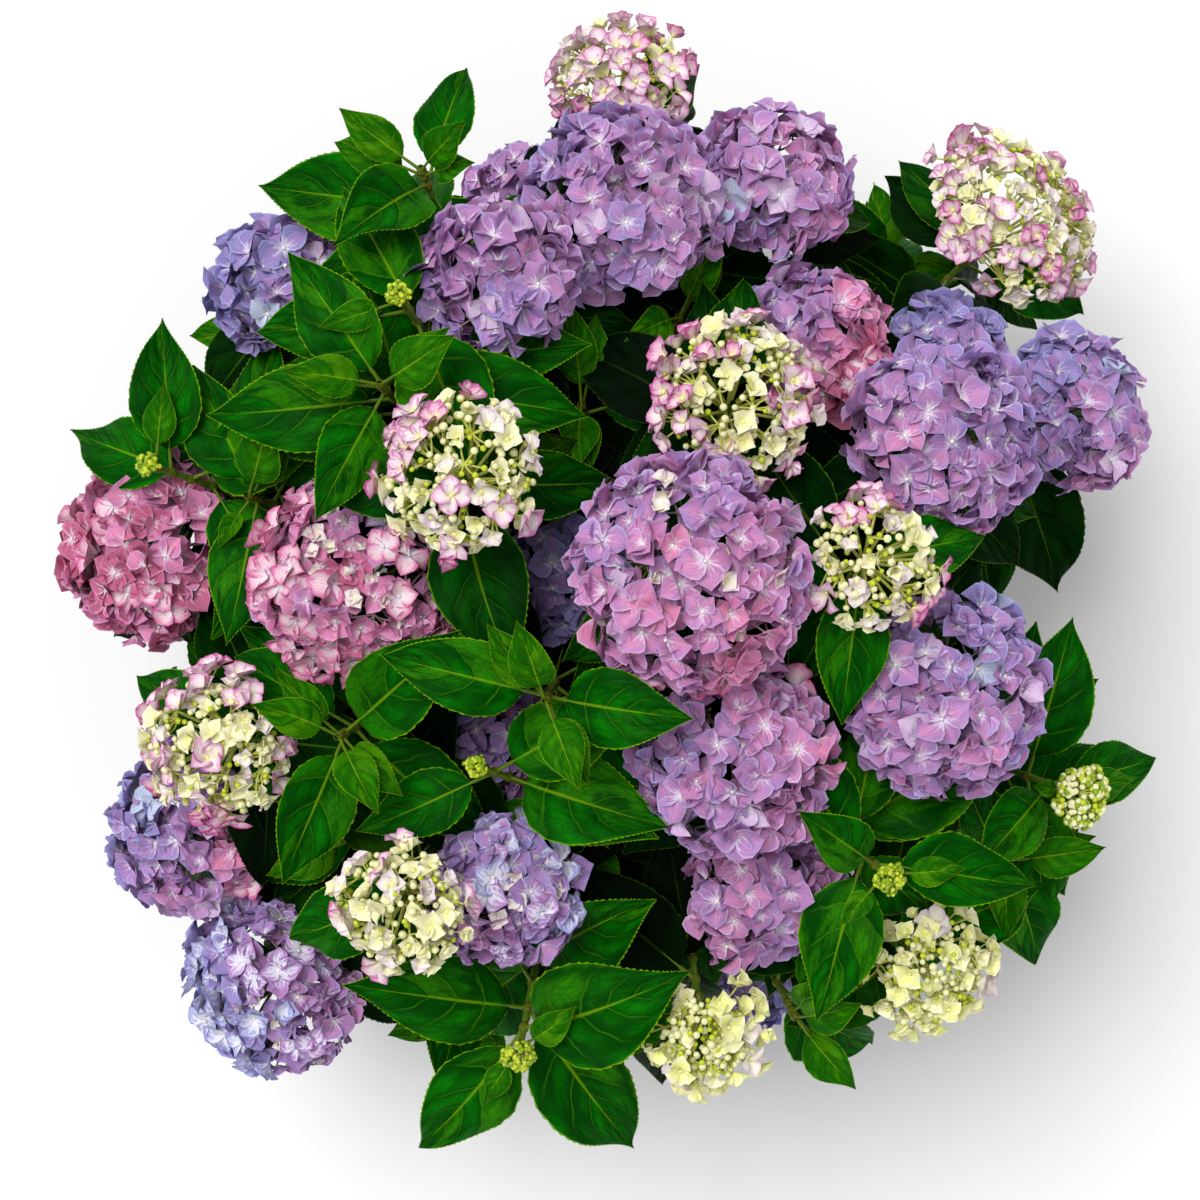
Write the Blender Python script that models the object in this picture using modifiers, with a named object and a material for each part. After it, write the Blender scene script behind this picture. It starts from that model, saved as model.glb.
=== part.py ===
"""Mophead hydrangea shrub rooted in the ground, in full bloom.

A root crown at ground level carries a ring of canes. Each cane carries one mass of the crown: a
stem that forks into leafy shoots, most of them ending in a flower head. Metres, +Z up. The origin
is the middle of the flat cut at ground level.
"""

import math
import random
from collections import namedtuple
from types import SimpleNamespace

import bmesh
import bpy
from mathutils import Matrix, Vector
from mathutils.bvhtree import BVHTree
from mathutils.kdtree import KDTree

SEED = 7
GAP = 0.0003
UP = Vector((0.0, 0.0, 1.0))

# The flower heads stand on a flattened dome
CROWN_RADIUS = 0.45
RIM_HEIGHT = 0.20
DOME_RISE = 0.40
CENTRE_LEAN = math.radians(6)
RIM_LEAN = math.radians(44)

# Root crown and canes
FLARE_RADIUS = 0.056
NECK_RADIUS = 0.036
CROWN_HEIGHT = 0.052
INNER_RING = 0.014
OUTER_RING = 0.037
INNER_TILT = math.radians(16)
OUTER_TILT = math.radians(44)
CANE_BASE_RADIUS = 0.0062
CANE_TIP_RADIUS = 0.0042
CANE_SIDES = 5
CANE_POINTS = 10
CANE_START = 0.018
CANE_RISE = 0.42
CANE_ARRIVAL = 0.30
ARRIVAL_UPTURN = 0.4
STUB_SHARE = 0.12
STUB_FLARE = 1.25
CANE_SHARE = 0.66
STEM_TAPER = 0.92
FORK_REACH = 0.62
FORK_DROP = 0.165
LOW_HEAD_DROP = 0.12

# Turned outline of the root crown: shares of the neck's or the flare's radius and of the height
NECK_OUTLINE = ((0.0, 1.0), (0.6, 0.97), (1.0, 0.78), (1.12, 0.4))
FLARE_OUTLINE = ((0.9, 0.12), (1.0, 0.0), (0.0, 0.0))
TURN_STEPS = 12

# Shoots
TWIG_BASE_RADIUS = 0.0032
TWIG_TIP_RADIUS = 0.0024
TWIG_POINTS = 6
TWIG_SIDES = 3
TWIG_END = 0.1
TWIG_PULL = 0.38
TWIG_UPTURN = 0.35
PATH_SAMPLES = 32
FREE_START = 4
SWAY_TRIES = 60
SWAY_STEP = 0.0016
SWAY_FLATNESS = 0.4
TWIG_CLEARANCE = 0.010
LIMB_CLEARANCE = 0.0065

# Room that shoots, leaf midribs and whole leaves leave round a flower head
SHOOT_MARGIN = 0.006
MIDRIB_MARGIN = 0.003
LEAF_MARGIN = 0.003
BOUND_SIDES = 16

# Flower heads, as shares of the head's radius
HEAD_SQUASH = 0.64
HEAD_UNDERSIDE = 0.34
CORE_SHARE = 0.82
FLORET_SHARE = 0.35
FLORET_SIZE = 0.86
LARGE_HEAD = 0.07
FEW_FLORETS = 8
UPPER_FACES = 0.4
CORNER_SLACK = 0.1

# Leaves
STALK = 0.018
LEAF_WIDEST = 0.28
LEAF_KEEL = 0.0022
LEAF_FOLD = 0.03
LEAF_DROOP = math.radians(50)
LEAF_OUTLINE = ((0.0, 0.030), (0.42, 1.0))
LEAF_ROLL = 0.3
NEARLY_ALONG = 0.35
NEARLY_UPRIGHT = 0.2
LOWEST_LEAF = 0.03
LEAF_REACH = 0.50
LEAST_JOINT = 0.035
JOINT_SPACING = 0.002
LEAF_SIZES = (0.9, 1.08)
LEAF_TURN = 0.12
SIDE_PAIRS = 2
INNER_PAIRS = 2
SPAN_SHARE = 0.62
BLADE_CHECKS = (0.0, 0.3, 0.6, 1.0)

# A leaf may hang over a flower head below it by this share of its checked points
OVER_HEAD_SHARE = 0.34
OVER_HEAD_CHECKS = ((0.1, 0.0), (0.4, -0.8), (0.4, 0.0), (0.4, 0.8), (0.7, -0.5), (0.7, 0.5), (1.0, 0.0))
HEAD_COVER = 0.92

# A leaf that is not clear at first is swung about its shoot, dipped or raised, then made smaller
LEAF_TRIES = tuple(
    (swing, dip, size)
    for size in (1.0, 0.8)
    for dip in (0.0, 0.22, -0.22)
    for swing in (0.0, 0.3, -0.3, 0.6, -0.6)
)

# Low side shoots that close the crown's foot
SIDE_SHOOTS = 12
SIDE_REACH = 0.355
SIDE_HEIGHTS = (0.155, 0.215)
SIDE_HEAD = 0.046
SIDE_OUT = 0.92
SIDE_RISE = 0.40
FLOWER_EVERY = 3
SIDE_TINTS = ("violet", "pink", "blue")

# Least share of the joined faces that a whole union keeps
WHOLE_UNION = 0.5

Shoot = namedtuple("Shoot", "kind x y lift radius bearing tint")

# Each mass and its shoots: kind, place in plan, lift over the dome, radius of the head, compass
# bearing of the top leaf pair in degrees, and colour of the petals
PLANTING = {
    "north": (
        Shoot("half", 0.015, 0.400, 0.03, 0.058, 50, "pink"),
        Shoot("open", 0.015, 0.295, -0.010, 0.075, 45, "lilac"),
    ),
    "north_east": (
        Shoot("open", 0.128, 0.315, -0.010, 0.062, 0, "violet"),
        Shoot("open", 0.160, 0.192, -0.065, 0.060, 70, "pink"),
    ),
    "north_west": (
        Shoot("open", -0.075, 0.235, 0.010, 0.060, 20, "lilac"),
        Shoot("leafy", -0.132, 0.318, 0.06, 0.0, 172, "green"),
        Shoot("bud", -0.142, 0.215, 0.08, 0.011, 13, "green"),
    ),
    "west_upper": (
        Shoot("open", -0.252, 0.245, -0.04, 0.054, 60, "blue"),
        Shoot("leafy", -0.155, 0.152, 0.06, 0.0, 5, "green"),
    ),
    "west": (
        Shoot("open", -0.350, 0.040, -0.05, 0.074, 40, "pink"),
        Shoot("bud", -0.335, 0.100, 0.05, 0.011, 75, "green"),
        Shoot("leafy", -0.262, 0.078, -0.02, 0.0, 30, "green"),
    ),
    "heart_west": (
        Shoot("open", -0.180, 0.016, -0.03, 0.076, 30, "pink"),
        Shoot("half", -0.096, 0.088, 0.050, 0.062, 0, "cream"),
    ),
    "heart": (
        Shoot("open", 0.063, 0.018, 0.04, 0.082, 5, "lilac"),
        Shoot("open", -0.030, 0.028, -0.13, 0.056, 0, "blue"),
        Shoot("leafy", -0.014, 0.145, -0.08, 0.0, 90, "green"),
    ),
    "heart_east": (
        Shoot("half", 0.096, 0.142, 0.010, 0.064, 60, "cream"),
        Shoot("leafy", 0.060, 0.215, -0.09, 0.0, 60, "green"),
    ),
    "far_north_east": (
        Shoot("half", 0.328, 0.305, 0.06, 0.080, 125, "cream"),
        Shoot("open", 0.275, 0.195, -0.09, 0.050, 40, "violet"),
    ),
    "east": (
        Shoot("open", 0.252, 0.118, 0.0, 0.072, 15, "violet"),
        Shoot("open", 0.378, 0.150, -0.03, 0.065, 25, "blue"),
    ),
    "east_lower": (
        Shoot("half", 0.192, 0.028, 0.05, 0.052, 45, "cream"),
        Shoot("open", 0.253, -0.068, 0.0, 0.075, 330, "violet"),
        Shoot("leafy", 0.165, -0.040, -0.12, 0.0, 20, "green"),
    ),
    "far_east": (
        Shoot("bud", 0.368, -0.150, 0.04, 0.029, 10, "green"),
        Shoot("leafy", 0.320, -0.205, -0.03, 0.0, 40, "green"),
    ),
    "south_east": (
        Shoot("open", 0.097, -0.112, -0.01, 0.073, 45, "violet"),
        Shoot("open", 0.120, -0.215, -0.05, 0.060, 60, "lilac"),
    ),
    "far_south_east": (
        Shoot("half", 0.246, -0.278, 0.03, 0.058, 20, "cream"),
        Shoot("bud", 0.208, -0.200, 0.06, 0.014, 0, "green"),
    ),
    "south": (
        Shoot("half", 0.078, -0.318, 0.04, 0.050, 5, "cream"),
        Shoot("leafy", 0.150, -0.320, -0.01, 0.0, 310, "green"),
    ),
    "south_lower": (
        Shoot("rim_bud", -0.060, -0.336, 0.05, 0.016, 52, "green"),
        Shoot("leafy", -0.010, -0.170, -0.12, 0.0, 80, "green"),
    ),
    "south_west": (
        Shoot("half", -0.143, -0.218, 0.05, 0.054, 20, "cream"),
        Shoot("open", -0.066, -0.214, -0.025, 0.055, 70, "violet"),
        Shoot("open", -0.080, -0.110, -0.14, 0.055, 40, "blue"),
        Shoot("bud", -0.088, -0.118, 0.01, 0.010, 30, "green"),
        Shoot("leafy", -0.038, -0.070, 0.04, 0.0, 100, "green"),
    ),
    "west_lower": (
        Shoot("half", -0.278, -0.106, 0.03, 0.062, 5, "cream"),
        Shoot("open", -0.322, -0.188, -0.05, 0.066, 60, "blue"),
        Shoot("leafy", -0.188, -0.098, 0.02, 0.0, 147, "green"),
    ),
    "far_south_west": (
        Shoot("open", -0.258, -0.304, -0.02, 0.075, 30, "blue"),
        Shoot("leafy", -0.185, -0.180, -0.06, 0.0, 22, "green"),
    ),
}
INNER_MASSES = ("heart", "heart_west", "heart_east", "south_west", "south_east", "east_lower")

# Distance of each leaf pair below the head, its blade length and its angle off the shoot
LEAF_PAIRS = {
    "open": ((0.010, 0.100, 84), (0.050, 0.120, 86), (0.100, 0.125, 80)),
    "half": ((0.010, 0.100, 84), (0.050, 0.120, 86), (0.100, 0.125, 80)),
    "bud": ((0.026, 0.098, 62), (0.048, 0.115, 72), (0.100, 0.125, 76)),
    "rim_bud": ((0.026, 0.135, 58), (0.048, 0.130, 70), (0.100, 0.125, 76)),
    "leafy": ((0.004, 0.060, 36), (0.020, 0.100, 60), (0.046, 0.120, 70)),
}

BUDS = ("bud", "rim_bud")

COLOURS = {
    "bark": (0.16, 0.11, 0.07),
    "green": (0.05, 0.22, 0.03),
    "pink": (0.72, 0.30, 0.46),
    "lilac": (0.50, 0.30, 0.62),
    "violet": (0.34, 0.22, 0.58),
    "blue": (0.26, 0.26, 0.62),
    "cream": (0.80, 0.76, 0.50),
}


def clear_scene():
    """Remove every object of the scene."""
    for thing in list(bpy.data.objects):
        bpy.data.objects.remove(thing, do_unlink=True)


def material(name, colour, roughness=0.6):
    """Plain surface of one colour."""
    made = bpy.data.materials.new(name)
    made.use_nodes = True
    shader = made.node_tree.nodes["Principled BSDF"]
    shader.inputs["Base Color"].default_value = (*colour, 1.0)
    shader.inputs["Roughness"].default_value = roughness
    shader.inputs["Metallic"].default_value = 0.0
    return made


def dome_height(x, y):
    """Height of the crown's dome over a place in plan."""
    share = min(math.hypot(x, y) / CROWN_RADIUS, 0.99)
    return RIM_HEIGHT + DOME_RISE * math.sqrt(1.0 - share * share)


def dome_axis(x, y):
    """Direction that a shoot points in at a place in plan: upright in the middle, out at the rim."""
    out = math.hypot(x, y)
    lean = CENTRE_LEAN + (RIM_LEAN - CENTRE_LEAN) * (out / CROWN_RADIUS) ** 2
    return Vector((x / out * math.sin(lean), y / out * math.sin(lean), math.cos(lean)))


def bezier(start, start_pull, end_pull, end, count):
    """Points along a cubic curve."""
    points = []
    for step in range(count):
        t = step / (count - 1)
        s = 1.0 - t
        points.append(start * s ** 3 + start_pull * 3 * s * s * t + end_pull * 3 * s * t * t + end * t ** 3)
    return points


def split(points, share):
    """Cut a run of points in the middle of a segment, with the clear gap between the two runs."""
    index = round(share * (len(points) - 1))
    before, after = points[index], points[index + 1]
    middle = (before + after) / 2
    half_gap = (after - before).normalized() * GAP / 2
    return points[:index + 1] + [middle - half_gap], [middle + half_gap] + points[index + 1:]


def plan_mass(name, shoots):
    """Middle of a mass's heads and the fork that they spring from."""
    middle = Vector((0.0, 0.0, 0.0))
    for shoot in shoots:
        middle += Vector((shoot.x, shoot.y, dome_height(shoot.x, shoot.y) + shoot.lift))
    middle /= len(shoots)
    lowest = min(dome_height(shoot.x, shoot.y) + shoot.lift for shoot in shoots)
    height = min(middle.z - FORK_DROP, lowest - LOW_HEAD_DROP)
    fork = Vector((middle.x * FORK_REACH, middle.y * FORK_REACH, height))
    return SimpleNamespace(name=name, shoots=list(shoots), middle=middle, fork=fork, twigs=[])


def add_limb(mass, angle, ring, tilt):
    """Path of a cane, from inside the root crown to its mass's fork."""
    out = Vector((math.cos(angle), math.sin(angle), 0.0))
    start = out * ring + UP * CANE_START
    rise = out * math.sin(tilt) + UP * math.cos(tilt)
    reach = (mass.fork - start).length
    arrive = (mass.middle - mass.fork).normalized().lerp(UP, ARRIVAL_UPTURN).normalized()
    near = start + rise * reach * CANE_RISE
    far = mass.fork - arrive * reach * CANE_ARRIVAL
    points = bezier(start, near, far, mass.fork, CANE_POINTS)
    mass.stub, rest = split(points, STUB_SHARE)
    mass.cane, mass.stem = split(rest, CANE_SHARE)
    mass.limb = points


def set_canes(masses):
    """Share the two rings of the root crown out among the masses, in the order of their bearings."""
    for ring, tilt, inner in ((INNER_RING, INNER_TILT, True), (OUTER_RING, OUTER_TILT, False)):
        members = [mass for mass in masses if (mass.name in INNER_MASSES) == inner]
        members.sort(key=lambda mass: math.atan2(mass.middle.y, mass.middle.x))
        step = 2 * math.pi / len(members)
        bearings = [math.atan2(mass.middle.y, mass.middle.x) for mass in members]
        turn = sum(bearing - index * step for index, bearing in enumerate(bearings)) / len(members)
        for index, mass in enumerate(members):
            add_limb(mass, turn + index * step, ring, tilt)


def side_shoots(masses):
    """Give the outer masses low shoots round the crown's foot, every third one in flower."""
    outer = [mass for mass in masses if mass.name not in INNER_MASSES]
    rng = random.Random(f"{SEED} side")
    for index in range(SIDE_SHOOTS):
        angle = 2 * math.pi * (index + rng.uniform(0.3, 0.7)) / SIDE_SHOOTS
        out = Vector((math.cos(angle), math.sin(angle), 0.0))
        place = out * (SIDE_REACH + rng.uniform(-0.02, 0.02)) + UP * SIDE_HEIGHTS[index % 2]
        mass = max(outer, key=lambda other: other.middle.xy.normalized().dot(out.xy))
        flowers = index % FLOWER_EVERY == 0
        twig = SimpleNamespace(
            mass=mass,
            kind="open" if flowers else "leafy",
            radius=SIDE_HEAD if flowers else 0.0,
            centre=place,
            axis=(out * SIDE_OUT + UP * SIDE_RISE).normalized(),
            bearing=angle + math.pi / 2,
            tint=SIDE_TINTS[index // FLOWER_EVERY % len(SIDE_TINTS)],
            root=mass.stem[1],
            side=True,
        )
        mass.twigs.append(twig)


def main_shoots(mass):
    """Turn a mass's rows of the planting table into shoots that spring from its fork."""
    for shoot in mass.shoots:
        centre = Vector((shoot.x, shoot.y, dome_height(shoot.x, shoot.y) + shoot.lift))
        twig = SimpleNamespace(
            mass=mass,
            kind=shoot.kind,
            radius=shoot.radius,
            centre=centre,
            axis=dome_axis(shoot.x, shoot.y),
            bearing=math.radians(shoot.bearing),
            tint=shoot.tint,
            root=mass.stem[-2],
            side=False,
        )
        mass.twigs.append(twig)


def inside_head(twig, point, margin):
    """Tell whether a point lies inside a head's squashed dome, grown by a margin."""
    if twig.radius == 0.0:
        return False
    offset = point - twig.centre
    height = offset.dot(twig.axis)
    across = (offset - twig.axis * height).length
    squash = HEAD_SQUASH if height > 0 else HEAD_UNDERSIDE
    reach = twig.radius + margin
    return (across / reach) ** 2 + (height / (twig.radius * squash + margin)) ** 2 < 1.0


def path_is_clear(path, twig, twigs, limbs):
    """Tell whether a shoot's path keeps off the other masses' limbs and off every other head."""
    for point in path:
        for other in twigs:
            if other is not twig and inside_head(other, point, SHOOT_MARGIN):
                return False
        if limbs.find_range(point, TWIG_CLEARANCE):
            return False
    return True


def tree_of(points):
    """Search tree over a list of points."""
    tree = KDTree(len(points))
    for index, point in enumerate(points):
        tree.insert(point, index)
    tree.balance()
    return tree


def sample(points, spacing=0.005):
    """Evenly spaced points along a run of points."""
    samples = []
    for start, end in zip(points, points[1:]):
        steps = max(1, math.ceil((end - start).length / spacing))
        samples += [start.lerp(end, step / steps) for step in range(steps)]
    return samples + [points[-1]]


def thinned(points, count):
    """Every so many points of a run, with both its ends."""
    last = len(points) - 1
    return [points[round(index * last / (count - 1))] for index in range(count)]


def run_shoots(masses):
    """Lay each shoot's path from its stem to its head, swaying until it is clear of its neighbours."""
    twigs = [twig for mass in masses for twig in mass.twigs]
    for index, twig in enumerate(twigs):
        rng = random.Random(f"{SEED} shoot {index}")
        taken = []
        for mass in masses:
            if mass is not twig.mass:
                taken += sample(mass.limb)
        for other in twigs[:index]:
            if other.mass is not twig.mass:
                taken += sample(other.path)
        limbs = tree_of(taken)
        end = twig.centre - twig.axis * twig.radius * TWIG_END
        reach = (end - twig.root).length
        leave = (end - twig.root).normalized().lerp(UP, 0.0 if twig.side else TWIG_UPTURN)
        for attempt in range(SWAY_TRIES):
            sway = Vector([rng.uniform(-1.0, 1.0) for _ in range(3)]) * SWAY_STEP * attempt
            sway.z *= SWAY_FLATNESS
            near = twig.root + leave * reach * TWIG_PULL + sway
            far = end - twig.axis * reach * TWIG_PULL + sway
            path = bezier(twig.root, near, far, end, PATH_SAMPLES)
            if path_is_clear(path[FREE_START:], twig, twigs, limbs):
                break
        twig.path = thinned(path, TWIG_POINTS)


def midrib(leaf, along):
    """Point, direction and upper normal of a leaf's midrib, a given length out from the shoot."""
    turn = LEAF_DROOP * along / leaf.length
    bend = leaf.length / LEAF_DROOP
    point = leaf.root + (leaf.ahead * math.sin(turn) + leaf.top * (math.cos(turn) - 1.0)) * bend
    ahead = leaf.ahead * math.cos(turn) - leaf.top * math.sin(turn)
    return point, ahead, leaf.side.cross(ahead)


def leaf_shape(leaf, first):
    """Corners and faces of a leaf from its stalk, or of its blade: a point, sections and a tip."""
    corners = [midrib(leaf, 0.0 if first == 0 else STALK)[0]]
    faces = []
    for along, wide in LEAF_OUTLINE[first:]:
        point, _, top = midrib(leaf, STALK + along * leaf.blade)
        half = leaf.side * wide * LEAF_WIDEST * leaf.blade
        fold = top * LEAF_FOLD * wide * LEAF_WIDEST * leaf.blade
        corners += [point + half + fold, point - half + fold, point - top * LEAF_KEEL]
    corners.append(midrib(leaf, leaf.length)[0])
    last = len(corners) - 1
    for corner in range(3):
        following = (corner + 1) % 3
        faces.append((0, 1 + corner, 1 + following))
        for ring in range(1, last - 3, 3):
            faces.append((ring + corner, ring + 3 + corner, ring + 3 + following, ring + following))
        faces.append((last - 3 + corner, last, last - 3 + following))
    return corners, faces


def make_leaf(twig, node, ahead_of_node, bearing, blade, angle, rng):
    """A leaf at a node of a shoot, turned by its bearing in plan and angled off the shoot."""
    compass = Vector((math.cos(bearing), math.sin(bearing), 0.0))
    across = compass - ahead_of_node * compass.dot(ahead_of_node)
    if across.length < NEARLY_ALONG:
        across = (UP - ahead_of_node * ahead_of_node.z) * (1.0 if compass.dot(ahead_of_node) > 0 else -1.0)
    across.normalize()
    ahead = (ahead_of_node * math.cos(angle) + across * math.sin(angle)).normalized()
    side = ahead.cross(UP)
    if side.length < NEARLY_UPRIGHT:
        side = ahead.cross(ahead_of_node)
    side = (Matrix.Rotation(rng.uniform(-LEAF_ROLL, LEAF_ROLL), 3, ahead) @ side).normalized()
    return SimpleNamespace(
        twig=twig,
        root=node,
        ahead=ahead,
        side=side,
        top=side.cross(ahead),
        blade=blade,
        length=STALK + blade,
    )


def hangs_over_heads(leaf, twigs):
    """Tell whether too much of a leaf lies above flower heads, where it would hide them."""
    over = 0
    for along, aside in OVER_HEAD_CHECKS:
        point = midrib(leaf, STALK + along * leaf.blade)[0] + leaf.side * aside * LEAF_WIDEST * leaf.blade
        over += any((point - twig.centre).xy.length < twig.radius * HEAD_COVER and point.z > twig.centre.z
                    for twig in twigs)
    return over > OVER_HEAD_SHARE * len(OVER_HEAD_CHECKS)


def leaf_is_clear(leaf, placed, twigs, samples, tree):
    """Tell whether a leaf stays in the crown and off every limb, head and leaf placed before it."""
    whole = leaf_shape(leaf, 0)
    blade = leaf_shape(leaf, 1)
    for corner in whole[0]:
        if corner.z < LOWEST_LEAF or math.hypot(corner.x, corner.y) > LEAF_REACH:
            return False
    if hangs_over_heads(leaf, twigs):
        return False
    leaf.whole = BVHTree.FromPolygons(*whole)
    leaf.face = BVHTree.FromPolygons(*blade)
    leaf.middle = midrib(leaf, leaf.length / 2)[0]
    leaf.span = leaf.length * SPAN_SHARE
    for along in BLADE_CHECKS:
        point = midrib(leaf, STALK + along * leaf.blade)[0]
        if any(inside_head(twig, point, MIDRIB_MARGIN) for twig in twigs):
            return False
    for twig in twigs:
        if twig.radius and (twig.centre - leaf.middle).length < twig.radius + leaf.span:
            if leaf.whole.overlap(twig.bounds):
                return False
    for point, index, _ in tree.find_range(leaf.middle, leaf.span + LIMB_CLEARANCE):
        body = leaf.face if samples[index][1] is leaf.twig.mass else leaf.whole
        if body.find_nearest(point, LIMB_CLEARANCE)[0] is not None:
            return False
    for other in placed:
        if (other.middle - leaf.middle).length > other.span + leaf.span:
            continue
        same = other.twig.mass is leaf.twig.mass
        mine, theirs = (leaf.face, other.face) if same else (leaf.whole, other.whole)
        if mine.overlap(theirs):
            return False
    return True


def head_bounds(twig, margin):
    """Closed dome just outside a head, for telling which leaves would cut into it."""
    shape = bmesh.new()
    bmesh.ops.create_uvsphere(shape, u_segments=BOUND_SIDES, v_segments=BOUND_SIDES // 2, radius=1.0)
    shape_head(shape, twig, twig.radius + margin)
    tree = BVHTree.FromBMesh(shape)
    shape.free()
    return tree


def shape_head(shape, twig, radius):
    """Turn a unit ball into a head's squashed dome and set it in its place."""
    frame = twig.axis.to_track_quat("Z", "Y").to_matrix()
    for vertex in shape.verts:
        x, y, z = vertex.co * radius
        z *= HEAD_SQUASH if z > 0 else HEAD_UNDERSIDE
        vertex.co = twig.centre + frame @ Vector((x, y, z))


def leaf_sites(index, twig):
    """Joints of a shoot that carry its leaf pairs, with the shoot's direction there."""
    run = sample(twig.path, JOINT_SPACING)
    lengths = [0.0]
    for start, end in zip(run, run[1:]):
        lengths.append(lengths[-1] + (end - start).length)
    pairs = LEAF_PAIRS[twig.kind]
    if twig.side:
        pairs = pairs[:SIDE_PAIRS]
    elif twig.mass.name in INNER_MASSES:
        pairs = pairs[:INNER_PAIRS]
    sites = []
    for order, (below, blade, angle) in enumerate(pairs):
        target = lengths[-1] - twig.radius * (HEAD_UNDERSIDE - TWIG_END) - below
        if target < LEAST_JOINT:
            break
        step = next(i for i, value in enumerate(lengths) if value >= target)
        ahead = (run[step] - run[step - 1]).normalized()
        for half in (0, 1):
            bearing = twig.bearing + math.pi / 2 * order + math.pi * half
            sites.append((run[step], index, order, half, ahead, bearing, blade, math.radians(angle)))
    return sites


def set_leaves(masses):
    """Set crossed leaf pairs down every shoot, the highest first, and skip those that are not clear."""
    twigs = [twig for mass in masses for twig in mass.twigs]
    samples = []
    for mass in masses:
        samples += [(point, mass) for point in sample(mass.limb)]
    for twig in twigs:
        samples += [(point, twig.mass) for point in sample(twig.path)]
        if twig.radius:
            twig.bounds = head_bounds(twig, LEAF_MARGIN)
    tree = tree_of([point for point, _ in samples])
    sites = [site for index, twig in enumerate(twigs) for site in leaf_sites(index, twig)]
    sites.sort(key=lambda site: (site[2] > 1, -site[0].z))
    placed = []
    for node, index, order, half, ahead, bearing, blade, angle in sites:
        rng = random.Random(f"{SEED} leaf {index} {order} {half}")
        size = rng.uniform(*LEAF_SIZES)
        turn = rng.uniform(-LEAF_TURN, LEAF_TURN)
        for swing, dip, shrink in LEAF_TRIES:
            roll = random.Random(f"{SEED} roll {index} {order} {half}")
            leaf = make_leaf(twigs[index], node, ahead, bearing + turn + swing, blade * size * shrink,
                             angle + dip, roll)
            if leaf_is_clear(leaf, placed, twigs, samples, tree):
                placed.append(leaf)
                break
    return placed


def grow():
    """Whole plan of the shrub: masses with their limbs and shoots, and the leaves."""
    masses = [plan_mass(name, shoots) for name, shoots in PLANTING.items()]
    set_canes(masses)
    for mass in masses:
        main_shoots(mass)
    side_shoots(masses)
    run_shoots(masses)
    return masses, set_leaves(masses)


def link(name, mesh, collection, surface):
    """New object of a mesh, with its surface."""
    made = bpy.data.objects.new(name, mesh)
    collection.objects.link(made)
    mesh.materials.clear()
    mesh.materials.append(surface)
    return made


def section(sides):
    """Closed outline of unit radius that a limb's curve is swept with."""
    outline = bpy.data.curves.new(f"section_{sides}", "CURVE")
    outline.dimensions = "2D"
    spline = outline.splines.new("POLY")
    spline.points.add(sides - 1)
    for index, point in enumerate(spline.points):
        angle = 2 * math.pi * index / sides
        point.co = (math.cos(angle), math.sin(angle), 0.0, 1.0)
    spline.use_cyclic_u = True
    made = bpy.data.objects.new(f"section_{sides}", outline)
    made.hide_render = True
    bpy.context.scene.collection.objects.link(made)
    return made


def limb(name, points, radii, outline, collection, surface):
    """Tapering limb: a swept curve made a mesh, with its caps welded on."""
    curve = bpy.data.curves.new(name, "CURVE")
    curve.dimensions = "3D"
    curve.bevel_mode = "OBJECT"
    curve.bevel_object = outline
    curve.use_fill_caps = True
    spline = curve.splines.new("POLY")
    spline.points.add(len(points) - 1)
    for index, (target, point) in enumerate(zip(spline.points, points)):
        target.co = (*point, 1.0)
        target.radius = radii[0] + (radii[1] - radii[0]) * index / (len(points) - 1)
    swept = bpy.data.objects.new(name, curve)
    collection.objects.link(swept)
    bpy.context.view_layer.update()
    mesh = bpy.data.meshes.new_from_object(swept.evaluated_get(bpy.context.evaluated_depsgraph_get()))
    bpy.data.objects.remove(swept, do_unlink=True)
    bpy.data.curves.remove(curve)
    shape = bmesh.new()
    shape.from_mesh(mesh)
    bmesh.ops.remove_doubles(shape, verts=shape.verts, dist=0.00001)
    bmesh.ops.recalc_face_normals(shape, faces=shape.faces)
    shape.to_mesh(mesh)
    shape.free()
    mesh.name = name
    return link(name, mesh, collection, surface)


def finish_shape(name, shape, collection, surface):
    """Object of a bmesh."""
    mesh = bpy.data.meshes.new(name)
    shape.to_mesh(mesh)
    shape.free()
    return link(name, mesh, collection, surface)


def eighth_of(face):
    """Which eighth of the full circle a face lies in, round the upright."""
    middle = face.calc_center_median()
    return round(8 * (math.atan2(middle.y, middle.x) / (2 * math.pi) % 1.0))


def half_width(face):
    """Mean distance of a face's corners from its middle."""
    middle = face.calc_center_median()
    return sum((vertex.co - middle).length for vertex in face.verts) / len(face.verts)


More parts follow.
